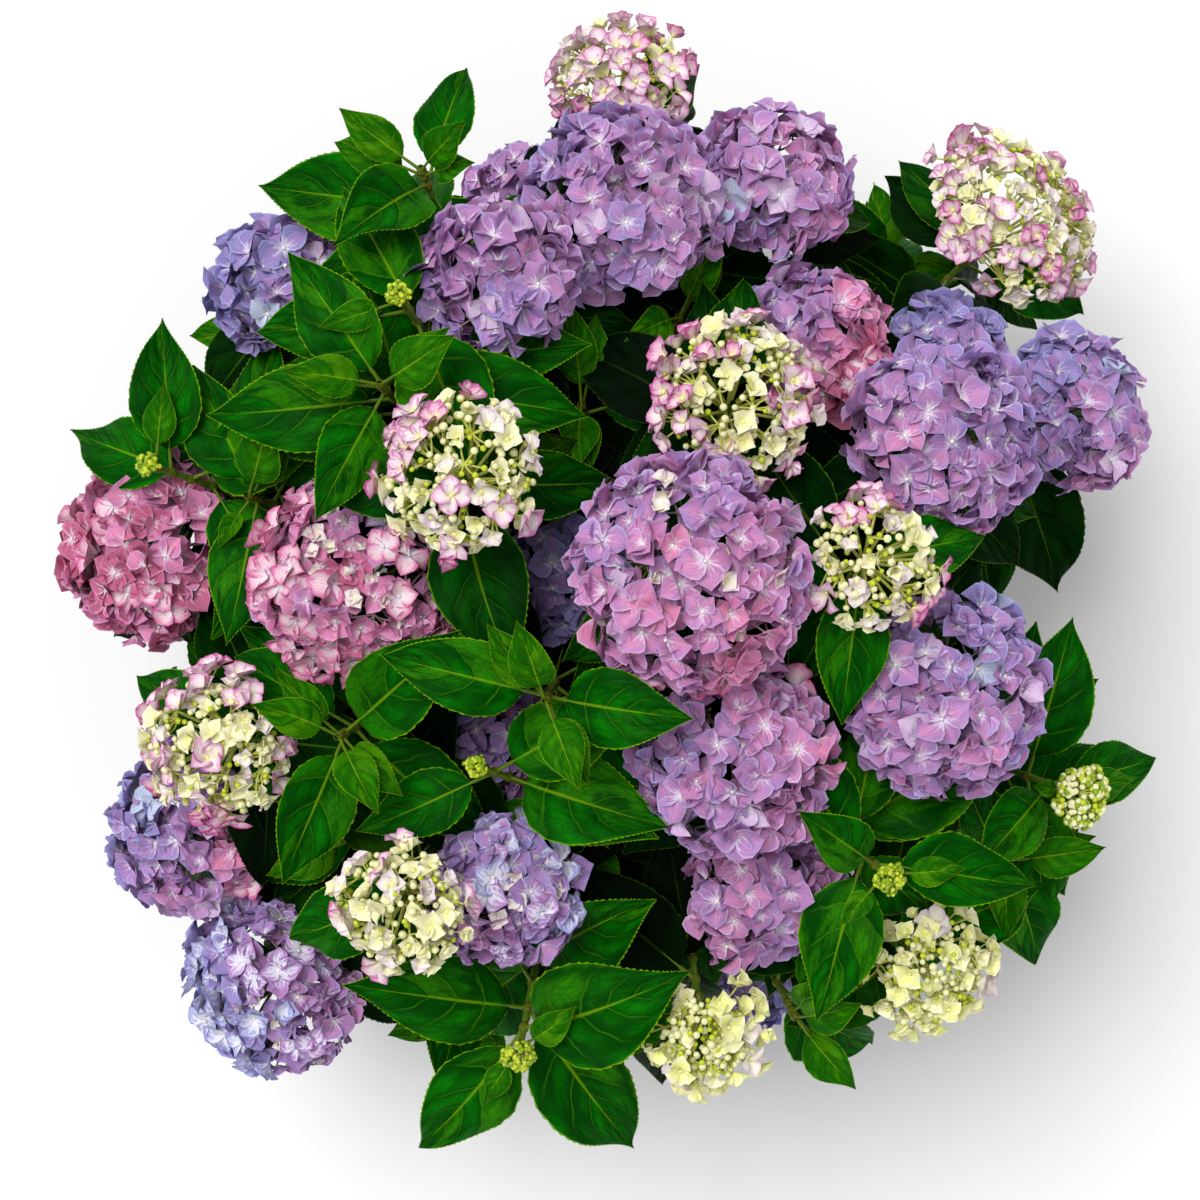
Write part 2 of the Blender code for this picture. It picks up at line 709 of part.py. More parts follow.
def flower_head(name, twig, collection, surface):
    """Squashed dome of a flower head, with four-cornered florets that flare out of its upper faces."""
    shape = bmesh.new()
    bmesh.ops.create_cube(shape, size=2.0)
    bmesh.ops.subdivide_edges(shape, edges=shape.edges[:], cuts=1, use_grid_fill=True)
    for vertex in shape.verts:
        vertex.co.normalize()
    below = [vertex for vertex in shape.verts if vertex.co.z < -CORNER_SLACK]
    bmesh.ops.pointmerge(shape, verts=below, merge_co=(0.0, 0.0, -1.0))
    if twig.kind in BUDS:
        shape_head(shape, twig, twig.radius)
        return finish_shape(name, shape, collection, surface)
    for vertex in shape.verts:
        vertex.co *= CORE_SHARE
    seats = [face for face in shape.faces if face.calc_center_median().z > 0.0]
    if twig.radius < LARGE_HEAD:
        seats.sort(key=lambda face: (face.calc_center_median().z < UPPER_FACES, eighth_of(face) % 2))
        seats = seats[:FEW_FLORETS]
    sizes = [half_width(face) for face in seats]
    bmesh.ops.inset_individual(shape, faces=seats, thickness=sum(sizes) / len(sizes) * FLORET_SHARE)
    flared = bmesh.ops.extrude_discrete_faces(shape, faces=seats)["faces"]
    for face, size in zip(flared, sizes):
        middle = face.calc_center_median()
        grow = size * FLORET_SIZE / half_width(face)
        for vertex in face.verts:
            vertex.co = (middle + (vertex.co - middle) * grow).normalized()
    shape_head(shape, twig, twig.radius)
    return finish_shape(name, shape, collection, surface)


def fuse(base, collection):
    """Join everything in a collection to one object and drop the loose scraps."""
    plain = base.data.copy()
    expected = sum(len(thing.data.polygons) for thing in collection.objects) * WHOLE_UNION
    for solver in ("EXACT", "MANIFOLD"):
        union = base.modifiers.new("join", "BOOLEAN")
        union.operation = "UNION"
        union.operand_type = "COLLECTION"
        union.collection = collection
        union.solver = solver
        bpy.context.view_layer.objects.active = base
        bpy.ops.object.modifier_apply(modifier=union.name)
        keep_largest_body(base.data)
        if len(base.data.polygons) > expected:
            break
        base.data = plain.copy()
    for thing in list(collection.objects):
        bpy.data.objects.remove(thing, do_unlink=True)
    bpy.data.collections.remove(collection)


def keep_largest_body(mesh):
    """Keep a mesh's largest body: sealed hollows are filled and loose scraps dropped."""
    shape = bmesh.new()
    shape.from_mesh(mesh)
    left = set(shape.faces)
    bodies = []
    while left:
        front = [left.pop()]
        body = []
        while front:
            face = front.pop()
            body.append(face)
            for edge in face.edges:
                for other in edge.link_faces:
                    if other in left:
                        left.remove(other)
                        front.append(other)
        bodies.append(body)
    bodies.sort(key=len, reverse=True)
    for body in bodies[1:]:
        bmesh.ops.delete(shape, geom=body, context="FACES")
    shape.to_mesh(mesh)
    shape.free()


def build_mass(mass, leaves, outlines, collection, surfaces):
    """One mass of the crown: its stem, shoots, heads and leaves, all fused."""
    base = limb(mass.name + "_mass", mass.stem, (CANE_TIP_RADIUS, CANE_TIP_RADIUS * STEM_TAPER),
                outlines[CANE_SIDES], collection, surfaces["green"])
    parts = bpy.data.collections.new(mass.name + "_parts")
    bpy.context.scene.collection.children.link(parts)
    for index, twig in enumerate(mass.twigs):
        limb(f"{mass.name}_shoot_{index}", twig.path, (TWIG_BASE_RADIUS, TWIG_TIP_RADIUS),
             outlines[TWIG_SIDES], parts, surfaces["green"])
        if twig.radius:
            flower_head(f"{mass.name}_head_{index}", twig, parts, surfaces[twig.tint])
    for index, leaf in enumerate(leaves):
        corners, faces = leaf_shape(leaf, 0)
        mesh = bpy.data.meshes.new(f"{mass.name}_leaf_{index}")
        mesh.from_pydata(corners, [], faces)
        link(mesh.name, mesh, parts, surfaces["green"])
    fuse(base, parts)
    return base


def build_root_crown(masses, outlines, collection, surface):
    """Root crown: a flared foot turned about the upright, with a stub for each cane fused on."""
    profile = bpy.data.meshes.new("root_crown")
    outline = [(NECK_RADIUS * out, 0.0, CROWN_HEIGHT * up) for out, up in NECK_OUTLINE]
    outline += [(FLARE_RADIUS * out, 0.0, CROWN_HEIGHT * up) for out, up in FLARE_OUTLINE]
    profile.from_pydata(outline, [(i, i + 1) for i in range(len(outline) - 1)], [])
    base = link("root_crown", profile, collection, surface)
    turned = base.modifiers.new("turn", "SCREW")
    turned.steps = TURN_STEPS
    turned.render_steps = TURN_STEPS
    turned.use_merge_vertices = True
    turned.merge_threshold = 0.00001
    bpy.context.view_layer.objects.active = base
    bpy.ops.object.modifier_apply(modifier=turned.name)
    parts = bpy.data.collections.new("root_crown_parts")
    bpy.context.scene.collection.children.link(parts)
    for mass in masses:
        limb(f"{mass.name}_stub", mass.stub, (CANE_BASE_RADIUS * STUB_FLARE, CANE_BASE_RADIUS),
             outlines[CANE_SIDES], parts, surface)
    fuse(base, parts)
    return base


def main():
    """Grow the shrub and make its solids: the root crown, the canes and the masses of the crown."""
    clear_scene()
    shrub = bpy.data.collections.new("hydrangea_shrub")
    bpy.context.scene.collection.children.link(shrub)
    surfaces = {name: material(name, colour) for name, colour in COLOURS.items()}
    outlines = {sides: section(sides) for sides in (TWIG_SIDES, CANE_SIDES)}
    masses, leaves = grow()
    build_root_crown(masses, outlines, shrub, surfaces["bark"])
    for mass in masses:
        limb(mass.name + "_cane", mass.cane, (CANE_BASE_RADIUS, CANE_TIP_RADIUS), outlines[CANE_SIDES], shrub,
             surfaces["bark"])
        own = [leaf for leaf in leaves if leaf.twig.mass is mass]
        build_mass(mass, own, outlines, shrub, surfaces)
    for outline in outlines.values():
        bpy.data.objects.remove(outline, do_unlink=True)


main()
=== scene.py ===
import math
import random
from collections import defaultdict, namedtuple
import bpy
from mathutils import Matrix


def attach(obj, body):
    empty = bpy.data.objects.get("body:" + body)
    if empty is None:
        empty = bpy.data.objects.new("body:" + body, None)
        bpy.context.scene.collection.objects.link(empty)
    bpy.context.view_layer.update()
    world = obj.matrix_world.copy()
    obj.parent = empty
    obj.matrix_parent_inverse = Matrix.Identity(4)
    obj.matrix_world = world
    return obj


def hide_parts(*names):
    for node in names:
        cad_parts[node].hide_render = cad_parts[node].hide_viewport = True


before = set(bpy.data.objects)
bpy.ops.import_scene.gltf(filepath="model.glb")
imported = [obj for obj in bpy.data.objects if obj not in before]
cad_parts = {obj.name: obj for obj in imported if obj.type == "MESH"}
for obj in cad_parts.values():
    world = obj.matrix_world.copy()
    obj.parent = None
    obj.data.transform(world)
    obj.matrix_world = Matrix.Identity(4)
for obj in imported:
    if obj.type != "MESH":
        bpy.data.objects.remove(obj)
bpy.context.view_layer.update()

from types import SimpleNamespace

import bmesh
import bpy
import numpy as np
from mathutils import Matrix, Vector, noise
from mathutils.bvhtree import BVHTree
from mathutils.kdtree import KDTree

# Root crown: the woody foot of the shrub at ground level, grey-brown fibrous bark over old
# wood, flared where it meets the soil. Every cane springs from it in one of two rings, so the
# plan of the whole shrub is laid out here first.

SEED = 7
UP = Vector((0.0, 0.0, 1.0))

CROWN_RADIUS = 0.45
RIM_HEIGHT = 0.20
DOME_RISE = 0.40

FLARE_RADIUS = 0.056
NECK_RADIUS = 0.036
CROWN_HEIGHT = 0.052
INNER_RING = 0.014
OUTER_RING = 0.037
INNER_TILT = math.radians(16)
OUTER_TILT = math.radians(44)
CANE_BASE_RADIUS = 0.0062
LIMB_START = 0.018
LIMB_POINTS = 10
LEAVE_PULL = 0.42
ARRIVE_PULL = 0.30
ARRIVE_UPRIGHT = 0.4
FORK_REACH = 0.62
FORK_DROP = 0.165
LOW_HEAD_DROP = 0.12

Shoot = namedtuple("Shoot", "kind x y lift radius bearing")

# Each mass and its shoots: kind, place in plan, lift over the dome, radius of the head and
# bearing of the top leaf pair, in degrees from +X toward +Y
PLANTING = {
    "north": (
        Shoot("half", 0.015, 0.400, 0.03, 0.058, 50),
        Shoot("open", 0.015, 0.295, -0.010, 0.075, 45),
    ),
    "north_east": (
        Shoot("open", 0.128, 0.315, -0.010, 0.062, 0),
        Shoot("open", 0.160, 0.192, -0.065, 0.060, 70),
    ),
    "north_west": (
        Shoot("open", -0.075, 0.235, 0.010, 0.060, 20),
        Shoot("leafy", -0.132, 0.318, 0.06, 0.0, 172),
        Shoot("bud", -0.142, 0.215, 0.08, 0.011, 13),
    ),
    "west_upper": (
        Shoot("open", -0.252, 0.245, -0.04, 0.054, 60),
        Shoot("leafy", -0.155, 0.152, 0.06, 0.0, 5),
    ),
    "west": (
        Shoot("open", -0.350, 0.040, -0.05, 0.074, 40),
        Shoot("bud", -0.335, 0.100, 0.05, 0.011, 75),
        Shoot("leafy", -0.262, 0.078, -0.02, 0.0, 30),
    ),
    "heart_west": (
        Shoot("open", -0.180, 0.016, -0.03, 0.076, 30),
        Shoot("half", -0.096, 0.088, 0.050, 0.062, 0),
    ),
    "heart": (
        Shoot("open", 0.063, 0.018, 0.04, 0.082, 5),
        Shoot("open", -0.030, 0.028, -0.13, 0.056, 0),
        Shoot("leafy", -0.014, 0.145, -0.08, 0.0, 90),
    ),
    "heart_east": (
        Shoot("half", 0.096, 0.142, 0.010, 0.064, 60),
        Shoot("leafy", 0.060, 0.215, -0.09, 0.0, 60),
    ),
    "far_north_east": (
        Shoot("half", 0.328, 0.305, 0.06, 0.080, 125),
        Shoot("open", 0.275, 0.195, -0.09, 0.050, 40),
    ),
    "east": (
        Shoot("open", 0.252, 0.118, 0.0, 0.072, 15),
        Shoot("open", 0.378, 0.150, -0.03, 0.065, 25),
    ),
    "east_lower": (
        Shoot("half", 0.192, 0.028, 0.05, 0.052, 45),
        Shoot("open", 0.253, -0.068, 0.0, 0.075, 330),
        Shoot("leafy", 0.165, -0.040, -0.12, 0.0, 20),
    ),
    "far_east": (
        Shoot("bud", 0.368, -0.150, 0.04, 0.029, 10),
        Shoot("leafy", 0.320, -0.205, -0.03, 0.0, 40),
    ),
    "south_east": (
        Shoot("open", 0.097, -0.112, -0.01, 0.073, 45),
        Shoot("open", 0.120, -0.215, -0.05, 0.060, 60),
    ),
    "far_south_east": (
        Shoot("half", 0.246, -0.278, 0.03, 0.058, 20),
        Shoot("bud", 0.208, -0.200, 0.06, 0.014, 0),
    ),
    "south": (
        Shoot("half", 0.078, -0.318, 0.04, 0.050, 5),
        Shoot("leafy", 0.150, -0.320, -0.01, 0.0, 310),
    ),
    "south_lower": (
        Shoot("rim_bud", -0.060, -0.336, 0.05, 0.016, 52),
        Shoot("leafy", -0.010, -0.170, -0.12, 0.0, 80),
    ),
    "south_west": (
        Shoot("half", -0.143, -0.218, 0.05, 0.054, 20),
        Shoot("open", -0.066, -0.214, -0.025, 0.055, 70),
        Shoot("open", -0.080, -0.110, -0.14, 0.055, 40),
        Shoot("bud", -0.088, -0.118, 0.01, 0.010, 30),
        Shoot("leafy", -0.038, -0.070, 0.04, 0.0, 100),
    ),
    "west_lower": (
        Shoot("half", -0.278, -0.106, 0.03, 0.062, 5),
        Shoot("open", -0.322, -0.188, -0.05, 0.066, 60),
        Shoot("leafy", -0.188, -0.098, 0.02, 0.0, 147),
    ),
    "far_south_west": (
        Shoot("open", -0.258, -0.304, -0.02, 0.075, 30),
        Shoot("leafy", -0.185, -0.180, -0.06, 0.0, 22),
    ),
}
INNER_MASSES = ("heart", "heart_west", "heart_east", "south_west", "south_east", "east_lower")


def head_height(shoot):
    """Height of a shoot's head or tip, lifted over the crown's dome."""
    share = min(math.hypot(shoot.x, shoot.y) / CROWN_RADIUS, 0.99)
    return RIM_HEIGHT + DOME_RISE * math.sqrt(1.0 - share * share) + shoot.lift


def head_place(shoot):
    """Middle of a shoot's head or tip."""
    return Vector((shoot.x, shoot.y, head_height(shoot)))


def bezier(start, start_pull, end_pull, end, count):
    """Points along a cubic curve."""
    points = []
    for step in range(count):
        t = step / (count - 1)
        s = 1.0 - t
        points.append(start * s ** 3 + start_pull * 3 * s * s * t + end_pull * 3 * s * t * t + end * t ** 3)
    return points


def plan_mass(name, shoots):
    """Middle of a mass's heads and the fork that they spring from."""
    middle = sum(map(head_place, shoots), Vector((0.0, 0.0, 0.0))) / len(shoots)
    lowest = min(map(head_height, shoots))
    height = min(middle.z - FORK_DROP, lowest - LOW_HEAD_DROP)
    fork = Vector((middle.x * FORK_REACH, middle.y * FORK_REACH, height))
    return SimpleNamespace(name=name, middle=middle, fork=fork, twigs=[])


def add_limb(mass, angle, ring, tilt):
    """Path of a cane, from inside the root crown to its mass's fork."""
    out = Vector((math.cos(angle), math.sin(angle), 0.0))
    start = out * ring + UP * LIMB_START
    rise = out * math.sin(tilt) + UP * math.cos(tilt)
    reach = (mass.fork - start).length
    arrive = (mass.middle - mass.fork).normalized().lerp(UP, ARRIVE_UPRIGHT).normalized()
    leave_at = start + rise * reach * LEAVE_PULL
    arrive_at = mass.fork - arrive * reach * ARRIVE_PULL
    mass.limb = bezier(start, leave_at, arrive_at, mass.fork, LIMB_POINTS)


def set_canes(masses):
    """Share the two rings of the root crown out among the masses, in the order of their bearings."""
    for ring, tilt, inner in ((INNER_RING, INNER_TILT, True), (OUTER_RING, OUTER_TILT, False)):
        members = [mass for mass in masses if (mass.name in INNER_MASSES) == inner]
        members.sort(key=lambda mass: math.atan2(mass.middle.y, mass.middle.x))
        step = 2 * math.pi / len(members)
        offsets = [math.atan2(mass.middle.y, mass.middle.x) - index * step
                   for index, mass in enumerate(members)]
        turn = sum(offsets) / len(offsets)
        for index, mass in enumerate(members):
            add_limb(mass, turn + index * step, ring, tilt)


masses = [plan_mass(name, shoots) for name, shoots in PLANTING.items()]
set_canes(masses)

Pattern = namedtuple("Pattern", "corners sizes places")


def grid_pattern(across, along, closed=False, pointed=False):
    """Faces over a grid of points, given each line's place in the unit square. A closed grid goes
    round a limb, and a pointed one ends in a single point."""
    columns = len(across) - 1 if closed else len(across)
    corners, sizes, places = [], [], []
    for row in range(len(along) - 1):
        near, far = row * columns, (row + 1) * columns
        for column in range(len(across) - 1):
            after = (column + 1) % columns
            corners += [near + column, near + after]
            places += [(across[column], along[row]), (across[column + 1], along[row])]
            if pointed and row == len(along) - 2:
                corners.append(far)
                places.append(((across[column] + across[column + 1]) / 2, along[row + 1]))
                sizes.append(3)
            else:
                corners += [far + after, far + column]
                places += [(across[column + 1], along[row + 1]), (across[column], along[row + 1])]
                sizes.append(4)
    return Pattern(np.array(corners), np.array(sizes), np.array(places, float))


def join(name, batches, surface, nodes):
    """Join batches of like shapes into one piece that replaces nodes. A batch is a pattern of
    faces, the points of its copies, and the corner of the map that each copy's pattern starts at,
    with the share of the map that a copy takes."""
    points, corners, sizes, places = [], [], [], []
    count = 0
    for pattern, copies, cells, share in batches:
        copies = np.asarray(copies, float)
        number, each = copies.shape[:2]
        points.append(copies.reshape(-1, 3))
        corners.append((pattern.corners + count + each * np.arange(number)[:, None]).ravel())
        sizes.append(np.tile(pattern.sizes, number))
        cells = np.zeros((number, 2)) if cells is None else np.asarray(cells, float)
        places.append((pattern.places * share + cells[:, None, :]).reshape(-1, 2))
        count += number * each
    points, corners, sizes, places = (np.concatenate(part) for part in (points, corners, sizes, places))
    mesh = bpy.data.meshes.new(name)
    mesh.vertices.add(len(points))
    mesh.vertices.foreach_set("co", points.ravel())
    mesh.loops.add(len(corners))
    mesh.loops.foreach_set("vertex_index", corners)
    mesh.polygons.add(len(sizes))
    mesh.polygons.foreach_set("loop_start", np.cumsum(sizes) - sizes)
    mesh.update(calc_edges=True)
    mesh.uv_layers.new(name="OFBake").data.foreach_set("uv", places.ravel())
    mesh.shade_smooth()
    mesh.materials.append(surface)
    made = bpy.data.objects.new(name, mesh)
    bpy.context.scene.collection.objects.link(made)
    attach(made, "root")
    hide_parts(*nodes)


NEARLY_UPRIGHT = 0.9


def smooth_run(points, count):
    """Evenly spaced points on a smooth curve through a run of points."""
    points = np.array([tuple(point) for point in points], float)
    padded = np.vstack([2 * points[0] - points[1], points, 2 * points[-1] - points[-2]])
    t = np.linspace(0, len(points) - 1, count)
    index = np.minimum(t.astype(int), len(points) - 2)
    t = (t - index)[:, None]
    a, b, c, d = (padded[index + step] for step in range(4))
    return 0.5 * (2 * b + (c - a) * t + (2 * a - 5 * b + 4 * c - d) * t ** 2
                  + (3 * b - a - 3 * c + d) * t ** 3)


def tube_points(paths, radii):
    """Points round a batch of equally long runs."""
    ahead = np.gradient(paths, axis=1)
    ahead /= np.linalg.norm(ahead, axis=2, keepdims=True)
    upright = np.abs(ahead[:, 0, 2]) > NEARLY_UPRIGHT
    side = np.cross(ahead[:, 0], np.where(upright[:, None], (1.0, 0.0, 0.0), (0.0, 0.0, 1.0)))
    angles = 2 * math.pi * np.arange(radii.shape[2]) / radii.shape[2]
    rings = []
    for ring in range(paths.shape[1]):
        side = side - ahead[:, ring] * np.sum(side * ahead[:, ring], axis=1, keepdims=True)
        side /= np.linalg.norm(side, axis=1, keepdims=True)
        over = np.cross(ahead[:, ring], side)
        around = side[:, None] * np.cos(angles)[:, None] + over[:, None] * np.sin(angles)[:, None]
        rings.append(paths[:, ring, None] + around * radii[:, ring, :, None])
    return np.stack(rings, axis=1).reshape(len(paths), -1, 3)


def tubes(paths, radii, cells=None, share=1.0):
    """Batch of equally long tubes. A radius is given for each tube, ring and side."""
    across, along = np.linspace(0, 1, radii.shape[2] + 1), np.linspace(0, 1, radii.shape[1])
    points = tube_points(np.asarray(paths, float), radii)
    return grid_pattern(across, along, closed=True), points, cells, share


def node(tree, kind, inputs=None, **settings):
    """Add a shader node. An input is a value or another node's output."""
    made = tree.nodes.new("ShaderNode" + kind)
    for name, value in settings.items():
        setattr(made, name, value)
    for key, value in (inputs or {}).items():
        if isinstance(value, bpy.types.NodeSocket):
            tree.links.new(value, made.inputs[key])
        else:
            made.inputs[key].default_value = value
    return made


def vector(tree, operation, *values):
    """Output of a sum on places."""
    return node(tree, "VectorMath", dict(enumerate(values)), operation=operation).outputs[0]


def cloud(tree, place, scale, detail, roughness=0.5):
    """Output of cloudy noise over a place."""
    inputs = {"Vector": place, "Scale": scale, "Detail": detail, "Roughness": roughness}
    return node(tree, "TexNoise", inputs).outputs[0]


def step_up(tree, value, low, high):
    """Output that rises smoothly from 0 to 1 between two values."""
    inputs = {"Value": value, "From Min": low, "From Max": high}
    return node(tree, "MapRange", inputs, interpolation_type="SMOOTHSTEP").outputs[0]


def blend(tree, share, first, second):
    """Output between two colours, each a colour or another output."""
    first, second = ((*c, 1.0) if isinstance(c, tuple) else c for c in (first, second))
    return node(tree, "Mix", {0: share, 6: first, 7: second}, data_type="RGBA").outputs[2]


def new_group(name, outputs, inputs=("Place",)):
    """Start a node group. Its sockets hold one number each, or a vector where the name is Place."""
    tree = bpy.data.node_groups.new(name, "ShaderNodeTree")
    for labels, way in ((inputs, "INPUT"), (outputs, "OUTPUT")):
        for label in labels:
            kind = "NodeSocketVector" if label == "Place" else "NodeSocketFloat"
            tree.interface.new_socket(name=label, in_out=way, socket_type=kind)
    return tree, tree.nodes.new("NodeGroupInput").outputs, tree.nodes.new("NodeGroupOutput").inputs


def lead_out(tree, out, **values):
    """Lead values to a group's outputs of the same names."""
    for label, value in values.items():
        tree.links.new(value, out[label])


def surface(name, roughness, specular):
    """Start a material: its node tree, its shader and its place on the map."""
    made = bpy.data.materials.new(name)
    made.use_nodes = True
    tree = made.node_tree
    shader = tree.nodes["Principled BSDF"]
    shader.inputs["Roughness"].default_value = roughness
    shader.inputs["Specular IOR Level"].default_value = specular
    place = node(tree, "UVMap", uv_map="OFBake").outputs[0]
    return made, tree, shader, place


def finish_surface(tree, shader, colour, height=None, depth=0.0, roughness=None):
    """Lead a colour, and relief and roughness where they are given, into a material's shader."""
    tree.links.new(colour, shader.inputs["Base Color"])
    if height is not None:
        bump = node(tree, "Bump", {"Height": height, "Distance": depth, "Strength": 1.0})
        tree.links.new(bump.outputs[0], shader.inputs["Normal"])
    if roughness is not None:
        tree.links.new(roughness, shader.inputs["Roughness"])


FIBRE_GRAIN = 0.6
FIBRE_CRACK = (0.46, 0.34)
SLOW_SCALE = 0.23
SLOW_TONE = (0.35, 0.65)


def make_fibre_group():
    """Long fibres that run up a limb, with cracks between them and a slow change of tone."""
    tree, given, out = new_group("limb_fibre", ("Fibre", "Crack", "Tone"), ("Place", "Around", "Along"))
    scale = node(tree, "CombineXYZ", {0: given["Around"], 1: given["Along"], 2: 1.0}).outputs[0]
    run = vector(tree, "MULTIPLY", given["Place"], scale)
    fibre = cloud(tree, run, 1.0, 5.0, FIBRE_GRAIN)
    slow = cloud(tree, run, SLOW_SCALE, 2.0)
    lead_out(tree, out, Fibre=fibre, Crack=step_up(tree, fibre, *FIBRE_CRACK),
             Tone=step_up(tree, slow, *SLOW_TONE))
    return tree


fibre_group = make_fibre_group()


def fibres(tree, place, around, along):
    """Outputs of the fibre group, with so many fibres around a limb and along it."""
    inputs = {"Place": place, "Around": around, "Along": along}
    return node(tree, "Group", inputs, node_tree=fibre_group).outputs


BARK_GREY = (0.205, 0.150, 0.105)
BARK_BROWN = (0.105, 0.066, 0.040)
BARK_CRACK = (0.030, 0.018, 0.011)
BARK_ROUGHNESS = 0.9
BARK_SHINE = 0.3
BARK_RELIEF = 0.0012
BARK_STREAK = (0.45, 0.7)
BARK_FIBRES = (46.0, 9.0)


def old_bark():
    """Fibrous bark of two greys with dark cracks."""
    made, tree, shader, place = surface("old_wood", BARK_ROUGHNESS, BARK_SHINE)
    fibre = fibres(tree, place, *BARK_FIBRES)
    tone = blend(tree, fibre["Tone"], BARK_BROWN, BARK_GREY)
    streaked = blend(tree, step_up(tree, fibre["Fibre"], *BARK_STREAK), tone, BARK_GREY)
    colour = blend(tree, fibre["Crack"], streaked, BARK_CRACK)
    finish_surface(tree, shader, colour, fibre["Fibre"], BARK_RELIEF)
    return made


CROWN_ROWS = 40
CROWN_SPOKES = 96
RIDGE_DEPTH = 0.0022
RIDGE_LIFT = 0.002
RIDGE_FADE = 0.01
RIDGES_AROUND = 9
RIDGES_UP = 22
RIDGE_NOISE = (0.7, 2.1, 4)
BUTTRESS_DEPTH = 0.006
BUTTRESS_WIDTH = 0.13
BUTTRESS_SINK = 0.6

# Outline of the foot from its middle on top to the ground: share of its height, and reach
FOOT_OUTLINE = (
    (1.0, 0.0),
    (0.97, 0.6 * NECK_RADIUS),
    (0.78, NECK_RADIUS),
    (0.4, 1.12 * NECK_RADIUS),
    (0.12, 0.9 * FLARE_RADIUS),
    (0.0, FLARE_RADIUS),
)


def root_crown_points():
    """Turned foot with buttresses below the outer canes and fibrous ridges all round."""
    shares, reaches = np.array(FOOT_OUTLINE).T
    t = np.linspace(0, len(FOOT_OUTLINE) - 1, CROWN_ROWS)
    height = np.interp(t, range(len(FOOT_OUTLINE)), shares * CROWN_HEIGHT)
    reach = np.interp(t, range(len(FOOT_OUTLINE)), reaches)
    outer = [math.atan2(mass.limb[0].y, mass.limb[0].x) for mass in masses if mass.name not in INNER_MASSES]
    points = np.zeros((CROWN_ROWS, CROWN_SPOKES, 3))
    for row in range(CROWN_ROWS):
        for spoke in range(CROWN_SPOKES):
            angle = 2 * math.pi * spoke / CROWN_SPOKES
            near = min(abs((angle - other + math.pi) % (2 * math.pi) - math.pi) for other in outer)
            around = (math.cos(angle) * RIDGES_AROUND, math.sin(angle) * RIDGES_AROUND)
            place = (*around, height[row] * RIDGES_UP)
            ridge = noise.fractal(place, *RIDGE_NOISE)
            buttress = math.exp(-(near / BUTTRESS_WIDTH) ** 2) - BUTTRESS_SINK
            swell = BUTTRESS_DEPTH * buttress * (reach[row] / FLARE_RADIUS)
            far = reach[row] + swell + RIDGE_DEPTH * ridge * min(1.0, reach[row] / RIDGE_FADE)
            far = min(far, FLARE_RADIUS)
            rise = height[row] + (RIDGE_LIFT * ridge if 0.0 < height[row] else 0.0)
            points[row, spoke] = (far * math.cos(angle), far * math.sin(angle), max(0.0, rise))
    return points.reshape(1, -1, 3)


COLLAR_RINGS = 7
COLLAR_SIDES = 16
COLLAR_RUN = 14
COLLAR_SWELL = ((0, 0.55, 0.85, 1.0), (2.1, 1.75, 1.3, 0.9))
COLLAR_ROUGH = (0.93, 1.07)

# The foot takes the lower part of the map, and each collar a strip of the upper part
FOOT_SHARE = 0.7
COLLAR_STEP = 0.05
COLLAR_START = 0.72
COLLAR_SHARE = np.array([0.045, 0.25])


def collars():
    """Tubes round the foot of every cane, swollen and uneven where it leaves the old wood."""
    paths = [smooth_run(mass.limb[:3], COLLAR_RUN)[:COLLAR_RINGS] for mass in masses]
    swelling = np.interp(np.linspace(0, 1, COLLAR_RINGS), *COLLAR_SWELL)[None, :, None]
    rough = np.random.default_rng(SEED).uniform(*COLLAR_ROUGH, (len(masses), COLLAR_RINGS, COLLAR_SIDES))
    cells = [(COLLAR_STEP * index, COLLAR_START) for index in range(len(masses))]
    return tubes(paths, CANE_BASE_RADIUS * swelling * rough, cells, COLLAR_SHARE)


foot_around, foot_down = np.linspace(0, 1, CROWN_SPOKES + 1), np.linspace(0, FOOT_SHARE, CROWN_ROWS)
foot_pattern = grid_pattern(foot_around, foot_down, closed=True)
join("root_crown_bark", [(foot_pattern, root_crown_points(), None, 1.0), collars()],
     old_bark(), ["root_crown"])

# Canes: one woody stem for each mass of the crown, tan to grey-brown bark that splits into
# papery strips near the foot and turns greenish higher up, ringed at every old leaf joint and
# dotted with pale breathing pores.

MASSES = [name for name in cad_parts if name.endswith("_mass")]
CANES = [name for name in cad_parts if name.endswith("_cane")]

CANE_RINGS = 64
CANE_SIDES = 12
CANE_TIP_RADIUS = 0.0042
RING_SPACING = 0.055
RING_SWELL = 0.16
RING_WIDTH = 0.0035
STRIPS_AROUND = 2.2
STRIPS_ALONG = 16
STRIP_DEPTH = 0.085
STRIP_NOISE = (0.8, 2.0, 3)
STRIP_SHIFT = 7.0
CANE_TAN = (0.300, 0.205, 0.120)
CANE_BROWN = (0.150, 0.092, 0.050)
CANE_GREEN = (0.130, 0.150, 0.045)
CANE_FIBRES = (26.0, 26.0)
CANE_ROUGHNESS = 0.82
CANE_RELIEF = 0.0008
GREENING = (0.45, 1.0)
PORE_PALE = (0.420, 0.330, 0.220)
PORE_SPREAD = (18.0, 90.0, 1.0)
PORE_SIZE = (0.2, 0.12)
PORE_HEIGHT = 0.4


